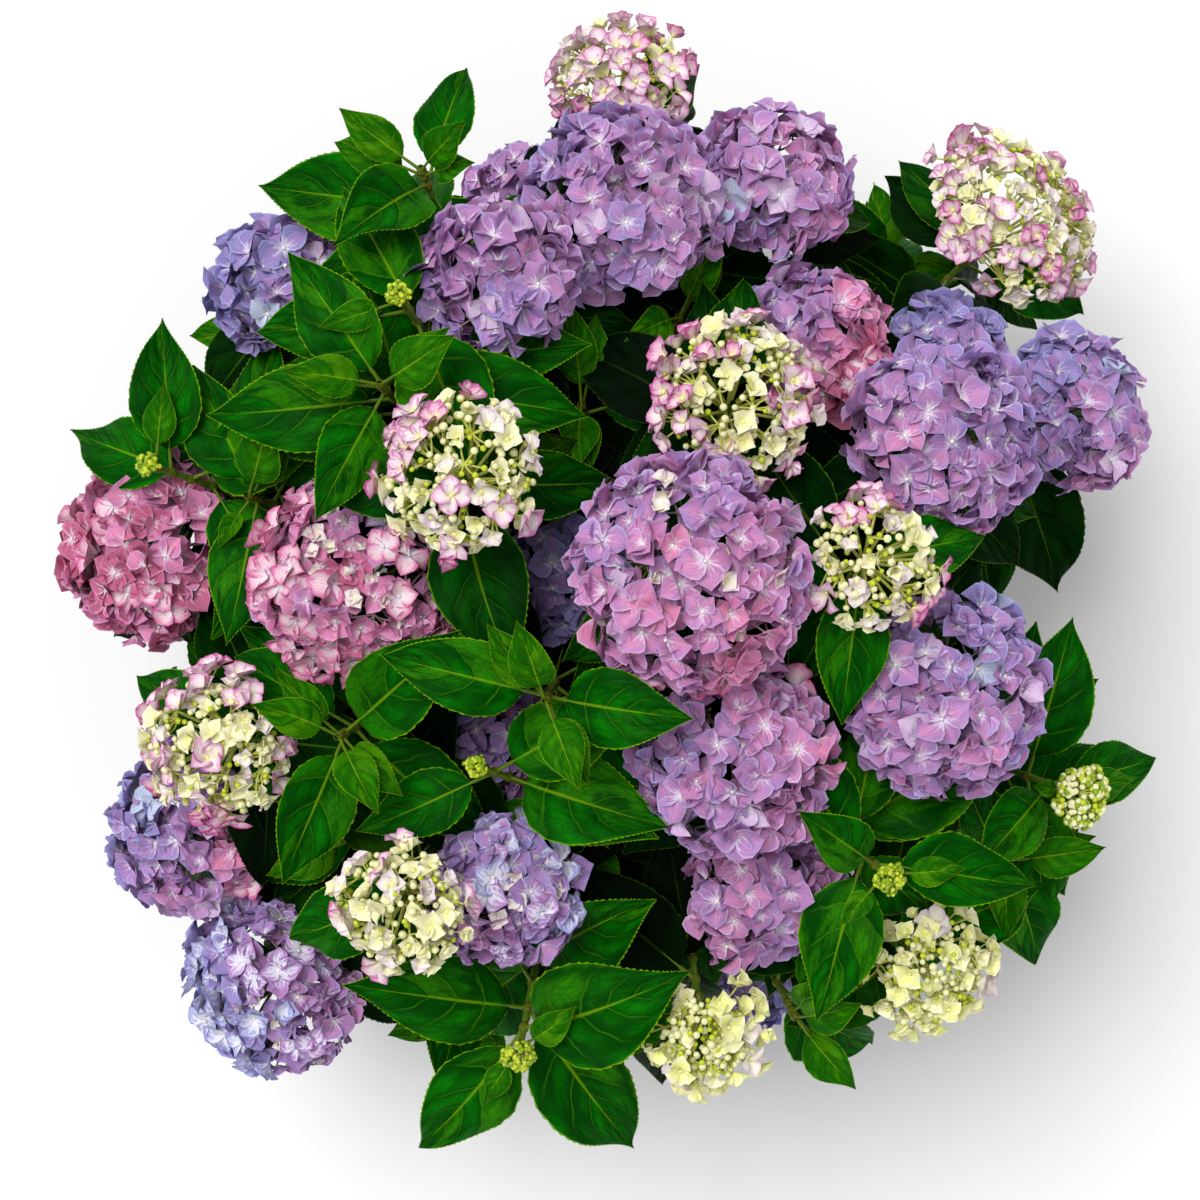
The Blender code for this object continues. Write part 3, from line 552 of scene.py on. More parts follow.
def cane_radii(path, index):
    """Radius of a cane at each ring and side: taper, leaf joints and strips of bark."""
    lengths = np.concatenate([[0.0], np.cumsum(np.linalg.norm(np.diff(path, axis=0), axis=1))])
    taper = CANE_BASE_RADIUS + (CANE_TIP_RADIUS - CANE_BASE_RADIUS) * lengths / lengths[-1]
    from_ring = np.abs((lengths / RING_SPACING) % 1.0 - 0.5) * RING_SPACING
    swell = RING_SWELL * np.exp(-(from_ring / RING_WIDTH) ** 2)
    own = index * STRIP_SHIFT
    radii = np.zeros((len(path), CANE_SIDES))
    for ring, along in enumerate(lengths):
        for side in range(CANE_SIDES):
            angle = 2 * math.pi * side / CANE_SIDES
            around = (math.cos(angle) * STRIPS_AROUND, math.sin(angle) * STRIPS_AROUND + own)
            strip = noise.fractal((*around, along * STRIPS_ALONG), *STRIP_NOISE)
            radii[ring, side] = taper[ring] * (1.0 + swell[ring] + STRIP_DEPTH * strip)
    return radii


def calc(tree, operation, *values, clamp=False):
    """Output of a sum on values or outputs."""
    return node(tree, "Math", dict(enumerate(values)), operation=operation, use_clamp=clamp).outputs[0]


def specks(tree, place, spread, size):
    """Mask of small round specks, spread along a limb."""
    place = vector(tree, "MULTIPLY", place, spread)
    distance = node(tree, "TexVoronoi", {"Vector": place, "Scale": 1.0}).outputs["Distance"]
    return step_up(tree, distance, *size)


def cane_surface():
    """Bark that changes from grey-brown at the foot to green-brown at the fork, with pores."""
    made, tree, shader, place = surface("cane_bark", CANE_ROUGHNESS, BARK_SHINE)
    fibre = fibres(tree, place, *CANE_FIBRES)
    along = node(tree, "SeparateXYZ", {0: place}).outputs[1]
    low = blend(tree, fibre["Tone"], CANE_BROWN, CANE_TAN)
    high = blend(tree, fibre["Tone"], CANE_GREEN, CANE_TAN)
    bark = blend(tree, step_up(tree, along, *GREENING), low, high)
    bark = blend(tree, fibre["Crack"], bark, BARK_CRACK)
    pores = specks(tree, place, PORE_SPREAD, PORE_SIZE)
    relief = calc(tree, "ADD", fibre["Fibre"], calc(tree, "MULTIPLY", pores, PORE_HEIGHT))
    finish_surface(tree, shader, blend(tree, pores, bark, PORE_PALE), relief, CANE_RELIEF)
    return made


cane_paths = [smooth_run(mass.limb, CANE_RINGS) for mass in masses]
cane_skin = np.array([cane_radii(path, index) for index, path in enumerate(cane_paths)])
join("cane_skin", [tubes(cane_paths, cane_skin)], cane_surface(), CANES + MASSES)

# Shoots: this year's soft green stems, three or four millimetres thick. They fork from the top
# of each cane, sway past one another up to their flower head or leafy tip, and thicken into a
# reddish joint at every leaf pair.

CENTRE_LEAN = math.radians(6)
RIM_LEAN = math.radians(44)
SIDE_SHOOTS = 12
SIDE_SPREAD = (0.3, 0.7)
SIDE_REACH = 0.355
SIDE_WANDER = 0.02
SIDE_HEIGHTS = (0.155, 0.215)
SIDE_HEAD = 0.046
SIDE_OUT = 0.92
SIDE_UP = 0.40
SIDE_ROOT = 7
MAIN_ROOT = 8
FLOWERING_SIDE = 3


def new_twig(mass, kind, radius, centre, axis, bearing, root, side):
    """Add a shoot to a mass, with its head or tip in place and its path still to lay."""
    mass.twigs.append(SimpleNamespace(mass=mass, kind=kind, radius=radius, centre=centre, axis=axis,
                                      bearing=bearing, root=root, side=side))


def main_shoots(mass):
    """Turn a mass's rows of the planting table into shoots that spring from its fork. They stand
    upright in the middle of the crown and lean out at its rim."""
    for shoot in PLANTING[mass.name]:
        out = math.hypot(shoot.x, shoot.y)
        lean = CENTRE_LEAN + (RIM_LEAN - CENTRE_LEAN) * (out / CROWN_RADIUS) ** 2
        axis = Vector((shoot.x / out * math.sin(lean), shoot.y / out * math.sin(lean), math.cos(lean)))
        new_twig(mass, shoot.kind, shoot.radius, head_place(shoot), axis, math.radians(shoot.bearing),
                 mass.limb[MAIN_ROOT], False)


def side_shoots(masses):
    """Give the outer masses low shoots round the crown's foot, every third one in flower."""
    outer = [mass for mass in masses if mass.name not in INNER_MASSES]
    rng = random.Random(f"{SEED} side")
    for index in range(SIDE_SHOOTS):
        angle = 2 * math.pi * (index + rng.uniform(*SIDE_SPREAD)) / SIDE_SHOOTS
        out = Vector((math.cos(angle), math.sin(angle), 0.0))
        reach = SIDE_REACH + rng.uniform(-SIDE_WANDER, SIDE_WANDER)
        place = out * reach + UP * SIDE_HEIGHTS[index % len(SIDE_HEIGHTS)]
        mass = max(outer, key=lambda mass: Vector((mass.middle.x, mass.middle.y, 0.0)).normalized().dot(out))
        kind, radius = ("leafy", 0.0) if index % FLOWERING_SIDE else ("open", SIDE_HEAD)
        new_twig(mass, kind, radius, place, (out * SIDE_OUT + UP * SIDE_UP).normalized(),
                 angle + math.pi / 2, mass.limb[SIDE_ROOT], True)


HEAD_SQUASH = 0.64
HEAD_UNDERSIDE = 0.34
HEAD_CLEARANCE = 0.006
TWIG_CLEARANCE = 0.010
PATH_POINTS = 6
PATH_SAMPLES = 32
SAMPLE_SPACING = 0.005
NEAR_ROOT = 4
HEAD_SEAT = 0.1
LEAVE_UPRIGHT = 0.35
SHOOT_PULL = 0.38
SWAY_TRIES = 60
SWAY_STEP = 0.0016
SWAY_UPRIGHT = 0.4


def inside_head(twig, point, margin):
    """Tell whether a point lies inside a head's squashed dome, grown by a margin."""
    if twig.radius == 0.0:
        return False
    offset = point - twig.centre
    height = offset.dot(twig.axis)
    across = (offset - twig.axis * height).length
    squash = HEAD_SQUASH if height > 0 else HEAD_UNDERSIDE
    reach = twig.radius + margin
    return (across / reach) ** 2 + (height / (twig.radius * squash + margin)) ** 2 < 1.0


def path_is_clear(path, twig, twigs, limbs):
    """Tell whether a shoot's path keeps off the other masses' limbs and off every other head."""
    for point in path:
        for other in twigs:
            if other is not twig and inside_head(other, point, HEAD_CLEARANCE):
                return False
        if limbs.find_range(point, TWIG_CLEARANCE):
            return False
    return True


def tree_of(points):
    """Search tree over a list of points."""
    tree = KDTree(len(points))
    for index, point in enumerate(points):
        tree.insert(point, index)
    tree.balance()
    return tree


def sample(points, spacing=SAMPLE_SPACING):
    """Evenly spaced points along a run of points."""
    samples = []
    for start, end in zip(points, points[1:]):
        steps = max(1, math.ceil((end - start).length / spacing))
        samples += [start.lerp(end, step / steps) for step in range(steps)]
    return samples + [points[-1]]


def run_shoots(masses, twigs):
    """Lay each shoot's path from its cane to its head, swaying until it is clear of its neighbours."""
    for index, twig in enumerate(twigs):
        rng = random.Random(f"{SEED} shoot {index}")
        taken = []
        for mass in masses:
            if mass is not twig.mass:
                taken += sample(mass.limb)
        for other in twigs[:index]:
            if other.mass is not twig.mass:
                taken += sample(other.path)
        limbs = tree_of(taken)
        end = twig.centre - twig.axis * twig.radius * HEAD_SEAT
        reach = (end - twig.root).length
        leave = (end - twig.root).normalized().lerp(UP, 0.0 if twig.side else LEAVE_UPRIGHT)
        for attempt in range(SWAY_TRIES):
            sway = Vector([rng.uniform(-1.0, 1.0) for _ in range(3)]) * SWAY_STEP * attempt
            sway.z *= SWAY_UPRIGHT
            near = twig.root + leave * reach * SHOOT_PULL + sway
            far = end - twig.axis * reach * SHOOT_PULL + sway
            path = bezier(twig.root, near, far, end, PATH_SAMPLES)
            if path_is_clear(path[NEAR_ROOT:], twig, twigs, limbs):
                break
        twig.path = [path[round(step * (PATH_SAMPLES - 1) / (PATH_POINTS - 1))]
                     for step in range(PATH_POINTS)]


for mass in masses:
    main_shoots(mass)
side_shoots(masses)
twigs = [twig for mass in masses for twig in mass.twigs]
run_shoots(masses, twigs)

SHOOT_RINGS = 28
SHOOT_SIDES = 8
SHOOT_BASE_RADIUS = 0.0034
SHOOT_TIP_RADIUS = 0.0024
STEM_ROUGHNESS = 0.48
STEM_SHINE = 0.15
STEM_FIBRES = (9.0, 5.0)
STEM_STREAK = (0.4, 0.68)
STEM_RELIEF = 0.0003
FLECK_SPREAD = (7.0, 60.0, 1.0)
FLECK_SIZE = (0.22, 0.1)


def stem_surface(name, green, pale, fleck):
    """Smooth green stem skin with paler lines along it and small reddish flecks."""
    made, tree, shader, place = surface(name, STEM_ROUGHNESS, STEM_SHINE)
    fibre = fibres(tree, place, *STEM_FIBRES)["Fibre"]
    skin = blend(tree, step_up(tree, fibre, *STEM_STREAK), green, pale)
    flecks = specks(tree, place, FLECK_SPREAD, FLECK_SIZE)
    finish_surface(tree, shader, blend(tree, flecks, skin, fleck), fibre, STEM_RELIEF)
    return made


def round_radii(profile, count, sides):
    """Radii of a batch of round tubes that share one profile."""
    return np.tile(np.asarray(profile)[None, :, None], (count, 1, sides))


shoot_paths = [smooth_run(twig.path, SHOOT_RINGS) for twig in twigs]
shoot_taper = np.linspace(SHOOT_BASE_RADIUS, SHOOT_TIP_RADIUS, SHOOT_RINGS)
shoot_radii = round_radii(shoot_taper, len(twigs), SHOOT_SIDES)
stem_green = stem_surface("stem_green", (0.070, 0.150, 0.008), (0.165, 0.255, 0.020), (0.110, 0.060, 0.022))
join("shoots", [tubes(shoot_paths, shoot_radii)], stem_green, MASSES)

# Leaves: crossed pairs down every shoot. A real leaf is a thick glossy oval blade with a drawn
# out tip, a fine saw edge and a yellow-green rim; the skin is quilted between a few pairs of
# sunken, arching side veins, and a short stout stalk clasps the shoot.

STALK = 0.018
LEAF_DROOP = math.radians(50)
LOWEST_LEAF = 0.03
LEAF_REACH = 0.50
LEAF_ROLL = 0.3
SHORT_ACROSS = 0.35
SHORT_SIDE = 0.2
GUARD_WIDTH = 0.28
GUARD_KEEL = 0.0022
GUARD_FOLD = 0.03
GUARD_SPAN = 0.62
GUARD_OUTLINE = ((0.0, 0.030), (0.42, 1.0))
MIDRIB_CHECKS = (0.0, 0.3, 0.6, 1.0)
OVER_HEAD_CHECKS = ((0.1, 0.0), (0.4, -0.8), (0.4, 0.0), (0.4, 0.8), (0.7, -0.5), (0.7, 0.5), (1.0, 0.0))
HEAD_COVER = 0.92

# How far a leaf keeps off limbs and heads, and by what share of its checked points it may hang
# over a flower head below it
Clearance = namedtuple("Clearance", "limbs heads cover")
MAIN_CLEARANCE = Clearance(0.0065, 0.003, 0.34)
FILL_CLEARANCE = Clearance(0.003, 0.002, 0.2)

# Distance of each leaf pair below the head, its blade length and its angle off the shoot. The
# main pairs carry the crown's outline, and the others fill it.
HEAD_PAIRS = ((0.010, 0.100, 84), (0.050, 0.120, 86), (0.100, 0.125, 80))
HEAD_FILL = ((0.028, 0.090, 86), (0.075, 0.105, 84), (0.125, 0.110, 78),
             (0.160, 0.105, 74), (0.200, 0.095, 70))
MAIN_PAIRS = {
    "open": HEAD_PAIRS,
    "half": HEAD_PAIRS,
    "bud": ((0.026, 0.098, 62), (0.048, 0.115, 72), (0.100, 0.125, 76)),
    "rim_bud": ((0.026, 0.135, 58), (0.048, 0.130, 70), (0.100, 0.125, 76)),
    "leafy": ((0.004, 0.060, 36), (0.020, 0.100, 60), (0.046, 0.120, 70)),
}
FILL_PAIRS = {
    "open": HEAD_FILL,
    "half": HEAD_FILL,
    "bud": ((0.008, 0.042, 44), (0.075, 0.105, 78), (0.125, 0.110, 76),
            (0.160, 0.100, 72), (0.200, 0.095, 70)),
    "rim_bud": ((0.008, 0.045, 44), (0.075, 0.110, 78), (0.125, 0.110, 76),
                (0.160, 0.100, 72), (0.200, 0.095, 70)),
    "leafy": ((0.010, 0.055, 46), (0.070, 0.105, 74), (0.095, 0.110, 74),
              (0.130, 0.105, 72), (0.170, 0.095, 70)),
}
FEW_PAIRS = 2
FIRST_FILL = 10
LOWEST_PAIR = 0.035
PAIR_SPACING = 0.002
LEAF_SIZES = (0.9, 1.08)
LEAF_TURN = 0.12


def leaf_tries(sizes, dip, swing):
    """Swing about the shoot, dip and size of a leaf at each try to place it clear."""
    return [(swung, dipped, size) for size in sizes for dipped in (0.0, dip, -dip)
            for swung in (0.0, swing, -swing, 2 * swing, -2 * swing)]


def midrib(leaf, along):
    """Point, direction and upper normal of a leaf's midrib, a given length out from the shoot."""
    turn = LEAF_DROOP * along / leaf.length
    bend = leaf.length / LEAF_DROOP
    point = leaf.root + (leaf.ahead * math.sin(turn) + leaf.top * (math.cos(turn) - 1.0)) * bend
    ahead = leaf.ahead * math.cos(turn) - leaf.top * math.sin(turn)
    return point, ahead, leaf.side.cross(ahead)


def guard_shape(leaf, first):
    """Coarse solid round a leaf, for telling whether it is clear. The first ring is left out of
    the solid round the blade alone."""
    corners = [midrib(leaf, STALK if first else 0.0)[0]]
    for along, wide in GUARD_OUTLINE[first:]:
        point, _, top = midrib(leaf, STALK + along * leaf.blade)
        half = leaf.side * wide * GUARD_WIDTH * leaf.blade
        fold = top * GUARD_FOLD * wide * GUARD_WIDTH * leaf.blade
        corners += [point + half + fold, point - half + fold, point - top * GUARD_KEEL]
    corners.append(midrib(leaf, leaf.length)[0])
    last = len(corners) - 1
    faces = []
    for corner in range(3):
        following = (corner + 1) % 3
        faces.append((0, 1 + corner, 1 + following))
        for ring in range(1, last - 3, 3):
            faces.append((ring + corner, ring + 3 + corner, ring + 3 + following, ring + following))
        faces.append((last - 3 + corner, last, last - 3 + following))
    return corners, faces


def make_leaf(site, swing, dip, shrink, roll):
    """A leaf at a joint of a shoot, turned by its bearing in plan and angled off the shoot."""
    stem, bearing, angle, blade = site.ahead, site.bearing + swing, site.angle + dip, site.blade * shrink
    compass = Vector((math.cos(bearing), math.sin(bearing), 0.0))
    across = compass - stem * compass.dot(stem)
    if across.length < SHORT_ACROSS:
        across = (UP - stem * stem.z) * (1.0 if compass.dot(stem) > 0 else -1.0)
    across.normalize()
    ahead = (stem * math.cos(angle) + across * math.sin(angle)).normalized()
    side = ahead.cross(UP)
    if side.length < SHORT_SIDE:
        side = ahead.cross(stem)
    side = (Matrix.Rotation(roll, 3, ahead) @ side).normalized()
    return SimpleNamespace(twig=site.twig, root=site.place, ahead=ahead, side=side, top=side.cross(ahead),
                           blade=blade, length=STALK + blade)


def hangs_over_heads(leaf, cover):
    """Tell whether too much of a leaf lies above flower heads, where it would hide them."""
    over = 0
    for along, aside in OVER_HEAD_CHECKS:
        point = midrib(leaf, STALK + along * leaf.blade)[0] + leaf.side * aside * GUARD_WIDTH * leaf.blade
        over += any((point - twig.centre).xy.length < twig.radius * HEAD_COVER and point.z > twig.centre.z
                    for twig in twigs)
    return over > cover * len(OVER_HEAD_CHECKS)


def leaf_is_clear(leaf, placed, keep):
    """Tell whether a leaf stays in the crown and off every limb, head and leaf placed before it."""
    whole = guard_shape(leaf, 0)
    for corner in whole[0]:
        if corner.z < LOWEST_LEAF or math.hypot(corner.x, corner.y) > LEAF_REACH:
            return False
    if hangs_over_heads(leaf, keep.cover):
        return False
    leaf.whole = BVHTree.FromPolygons(*whole)
    leaf.face = BVHTree.FromPolygons(*guard_shape(leaf, 1))
    leaf.middle = midrib(leaf, leaf.length / 2)[0]
    leaf.span = leaf.length * GUARD_SPAN
    for along in MIDRIB_CHECKS:
        point = midrib(leaf, STALK + along * leaf.blade)[0]
        if any(inside_head(twig, point, keep.heads) for twig in twigs):
            return False
    for twig in twigs:
        if twig.radius and (twig.centre - leaf.middle).length < twig.radius + leaf.span:
            if leaf.whole.overlap(twig.bounds):
                return False
    for point, index, _ in limb_tree.find_range(leaf.middle, leaf.span + keep.limbs):
        body = leaf.face if limb_samples[index][1] is leaf.twig.mass else leaf.whole
        if body.find_nearest(point, keep.limbs)[0] is not None:
            return False
    for other in placed:
        if (other.middle - leaf.middle).length > other.span + leaf.span:
            continue
        same = other.twig.mass is leaf.twig.mass
        mine, theirs = (leaf.face, other.face) if same else (leaf.whole, other.whole)
        if mine.overlap(theirs):
            return False
    return True


def head_bounds(twig, margin):
    """Closed dome just outside a head, for telling which leaves would cut into it."""
    frame_of = twig.axis.to_track_quat("Z", "Y").to_matrix()
    shape = bmesh.new()
    bmesh.ops.create_uvsphere(shape, u_segments=16, v_segments=8, radius=1.0)
    for vertex in shape.verts:
        x, y, z = vertex.co * (twig.radius + margin)
        z *= HEAD_SQUASH if z > 0 else HEAD_UNDERSIDE
        vertex.co = twig.centre + frame_of @ Vector((x, y, z))
    tree = BVHTree.FromBMesh(shape)
    shape.free()
    return tree


Site = namedtuple("Site", "twig place ahead order bearing blade angle name")


def leaf_sites(pairs_of, first_order):
    """Joints of every shoot that carry a leaf pair, two sites to a joint."""
    sites = []
    for index, twig in enumerate(twigs):
        run = sample(twig.path, PAIR_SPACING)
        lengths = [0.0]
        for start, end in zip(run, run[1:]):
            lengths.append(lengths[-1] + (end - start).length)
        for order, (below, blade, angle) in enumerate(pairs_of(twig), first_order):
            target = lengths[-1] - twig.radius * (HEAD_UNDERSIDE - HEAD_SEAT) - below
            if target < LOWEST_PAIR:
                break
            step = next(i for i, value in enumerate(lengths) if value >= target)
            ahead = (run[step] - run[step - 1]).normalized()
            for half in (0, 1):
                bearing = twig.bearing + math.pi / 2 * order + math.pi * half
                sites.append(Site(twig, run[step], ahead, order, bearing, blade, math.radians(angle),
                                  f"{index} {order} {half}"))
    return sites


def place_leaves(sites, tries, placed, keep):
    """Set the leaves that are clear. One that isn't is swung, dipped or raised, then made smaller."""
    for site in sites:
        rng = random.Random(f"{SEED} leaf {site.name}")
        size = rng.uniform(*LEAF_SIZES)
        turn = rng.uniform(-LEAF_TURN, LEAF_TURN)
        roll = random.Random(f"{SEED} roll {site.name}").uniform(-LEAF_ROLL, LEAF_ROLL)
        own = site._replace(bearing=site.bearing + turn, blade=site.blade * size)
        for swing, dip, shrink in tries:
            leaf = make_leaf(own, swing, dip, shrink, roll)
            if leaf_is_clear(leaf, placed, keep):
                placed.append(leaf)
                break


def main_pairs(twig):
    """Main leaf pairs of a shoot: fewer on low shoots and in the middle of the crown."""
    few = twig.side or twig.mass.name in INNER_MASSES
    return MAIN_PAIRS[twig.kind][:FEW_PAIRS] if few else MAIN_PAIRS[twig.kind]


limb_samples = [(point, mass) for mass in masses for point in sample(mass.limb)]
limb_samples += [(point, twig.mass) for twig in twigs for point in sample(twig.path)]
limb_tree = tree_of([point for point, _ in limb_samples])
for twig in twigs:
    if twig.radius:
        twig.bounds = head_bounds(twig, MAIN_CLEARANCE.heads)

leaves = []
main_sites = sorted(leaf_sites(main_pairs, 0), key=lambda site: (site.order > 1, -site.place.z))
main_tries = leaf_tries(sizes=(1.0, 0.8), dip=0.22, swing=0.3)
place_leaves(main_sites, main_tries, leaves, MAIN_CLEARANCE)
fill_sites = leaf_sites(lambda twig: FILL_PAIRS[twig.kind], FIRST_FILL)
fill_sites.sort(key=lambda site: -site.place.z)
fill_tries = leaf_tries(sizes=(1.0, 0.78, 0.6), dip=0.3, swing=0.35)
place_leaves(fill_sites, fill_tries, leaves, FILL_CLEARANCE)

VEIN_PAIRS = 6
ROWS_PER_VEIN = 3
LEAF_ROWS = VEIN_PAIRS * ROWS_PER_VEIN + 1
LEAF_LINES = np.array([-1.0, -0.70, -0.34, 0.0, 0.34, 0.70, 1.0])
LEAF_HALF_WIDTH = 0.272
LEAF_FOOT = 0.76
LEAF_TAPER = 1.30
LEAF_BASE = 0.03
VEIN_LEAN = 0.85
VEIN_ARCH = 0.70
LOWEST_LEAN = 0.22
QUILT_DEPTH = 0.0150
QUILT_SPREAD = 0.8
QUILT_SPAN = (0.02, 0.98)
QUILT_FADE = 0.4
EDGE_WAVES = 1.7
EDGE_OFFSET = 0.9
SAW_DEPTH = 0.0085
SAW_TOOTH = ((0.38, 1.0), (0.5, 0.0), (0.88, 1.0))


def leaf_outline(along):
    """Half-width of a blade at a share of its length, as a share of the widest."""
    along = np.clip(along, 0.0, 1.0)
    widest = LEAF_FOOT / (LEAF_FOOT + LEAF_TAPER)
    full = widest ** LEAF_FOOT * (1 - widest) ** LEAF_TAPER
    return LEAF_BASE * (1 - along) + along ** LEAF_FOOT * (1 - along) ** LEAF_TAPER / full


def leaf_pattern():
    """Faces of a blade: a grid whose rows follow the side veins, and a saw tooth beside each row."""
    stations = np.linspace(0.0, 1.0, LEAF_ROWS)
    base = grid_pattern((LEAF_LINES + 1) / 2, stations, pointed=True)
    columns = len(LEAF_LINES)
    corners, sizes, places = list(base.corners), list(base.sizes), list(map(tuple, base.places))
    tooth = (LEAF_ROWS - 1) * columns + 1
    for row in range(LEAF_ROWS - 2):
        near, far = stations[row], stations[row + 1]
        for edge, side in ((row * columns + columns - 1, 1.0), (row * columns, 0.0)):
            first, middle, second = tooth, tooth + 1, tooth + 2
            corners += [edge, first, middle, middle, second, edge + columns]
            places += [(side, share) for share in (near, near, (near + far) / 2, (near + far) / 2, far, far)]
            sizes += [3, 3]
            tooth += 3
    return Pattern(np.array(corners), np.array(sizes), np.array(places))


def place_on_blade(leaf, along, across, height):
    """Carry points given along, across and over a blade to their place on the bent midrib."""
    length = (STALK + along * leaf.blade)[:, None]
    turn = LEAF_DROOP * length / leaf.length
    bend = leaf.length / LEAF_DROOP
    root, ahead, side, top = (np.array(tuple(v)) for v in (leaf.root, leaf.ahead, leaf.side, leaf.top))
    middle = root + (ahead * np.sin(turn) + top * (np.cos(turn) - 1.0)) * bend
    normal = top * np.cos(turn) + ahead * np.sin(turn)
    twist = (leaf.twist * along)[:, None]
    over = normal * np.cos(twist) + side * np.sin(twist)
    beside = side * np.cos(twist) - normal * np.sin(twist)
    return middle + beside * across[:, None] + over * height[:, None]


def leaf_points(leaf):
    """Points of one leaf's blade, quilted, folded along its midrib and waved at its edge."""
    stations = np.linspace(0.0, 1.0, LEAF_ROWS)[:, None]
    lines = LEAF_LINES[None, :]
    out = np.abs(lines)
    ahead = (VEIN_LEAN * out + VEIN_ARCH * out ** 3) * np.clip(stations / LOWEST_LEAN, 0.0, 1.0)
    along = 1 - (1 - stations) ** (1 + ahead)
    half = leaf_outline(along) * LEAF_HALF_WIDTH * leaf.blade * leaf.breadth
    across = half * lines
    quilt = np.sin(math.pi * ((stations * VEIN_PAIRS) % 1.0)) * np.sin(math.pi * out ** QUILT_SPREAD)
    fade = np.sin(math.pi * np.clip(stations, *QUILT_SPAN)) ** QUILT_FADE
    height = leaf.fold * np.abs(across) + QUILT_DEPTH * leaf.blade * quilt * fade
    wave = np.sin(2 * math.pi * EDGE_WAVES * along + leaf.phase + EDGE_OFFSET * np.sign(lines))
    height = height + leaf.wave * leaf.blade * wave * out ** 2 * fade - leaf.cup * np.abs(across) * out ** 2
    saw_along, saw_across, saw_height = [], [], []
    for row in range(LEAF_ROWS - 2):
        for column in (-1, 0):
            for share, proud in SAW_TOOTH:
                here = slice(row, row + 2), column
                weigh = np.array([1 - share, share])
                edge = across[here] @ weigh
                saw_along.append(along[here] @ weigh)
                saw_across.append(edge + np.sign(edge) * SAW_DEPTH * leaf.blade * proud)
                saw_height.append(height[here] @ weigh)
    along = np.concatenate([along[:-1].ravel(), [1.0], saw_along])
    across = np.concatenate([across[:-1].ravel(), [0.0], saw_across])
    height = np.concatenate([height[:-1].ravel(), [height[-1, 3]], saw_height])
    height = height + leaf.lift * leaf.blade * along ** 3
    return place_on_blade(leaf, along, across + leaf.sickle * leaf.blade * along ** 2, height)


def cell_place(tree, place, cells, step):
    """Place inside one cell of the map, the cell, and a shift and place of its own for noise."""
    spread = vector(tree, "MULTIPLY", place, (cells, cells, 1))
    local = vector(tree, "FRACTION", spread)
    cell = vector(tree, "FLOOR", spread)
    shift = vector(tree, "MULTIPLY", cell, step)
    return local, cell, shift, vector(tree, "ADD", local, shift)


LEAF_CELLS = 3
CELL_STEP = (5.3, 7.7, 0)
RIB_WIDTH = 0.055
RIB_THINNING = -0.038
RIB_SHARPNESS = 0.6
VEIN_WANDER = 0.22
VEIN_CLOUD = (6.0, 1.0)
VEIN_EDGE = (0.88, 0.985)
VEIN_REACH = (0.97, 0.35)
NET_ALONG = 2.6
NET_ACROSS = 15.0
NET_EDGE = (0.12, 0.0)
NET_PIT = 0.28
LEAF_RIM = (0.980, 1.0)
SHEEN_CHANCE = (0.50, 0.95)
SHEEN_EDGE = (0.36, 0.56)
LEAF_MOTTLE = (3.2, 4.0, 0.6)
PANEL_HEIGHT = 0.6
VEIN_DEPTH = 0.35
NET_HEIGHT = 1.1


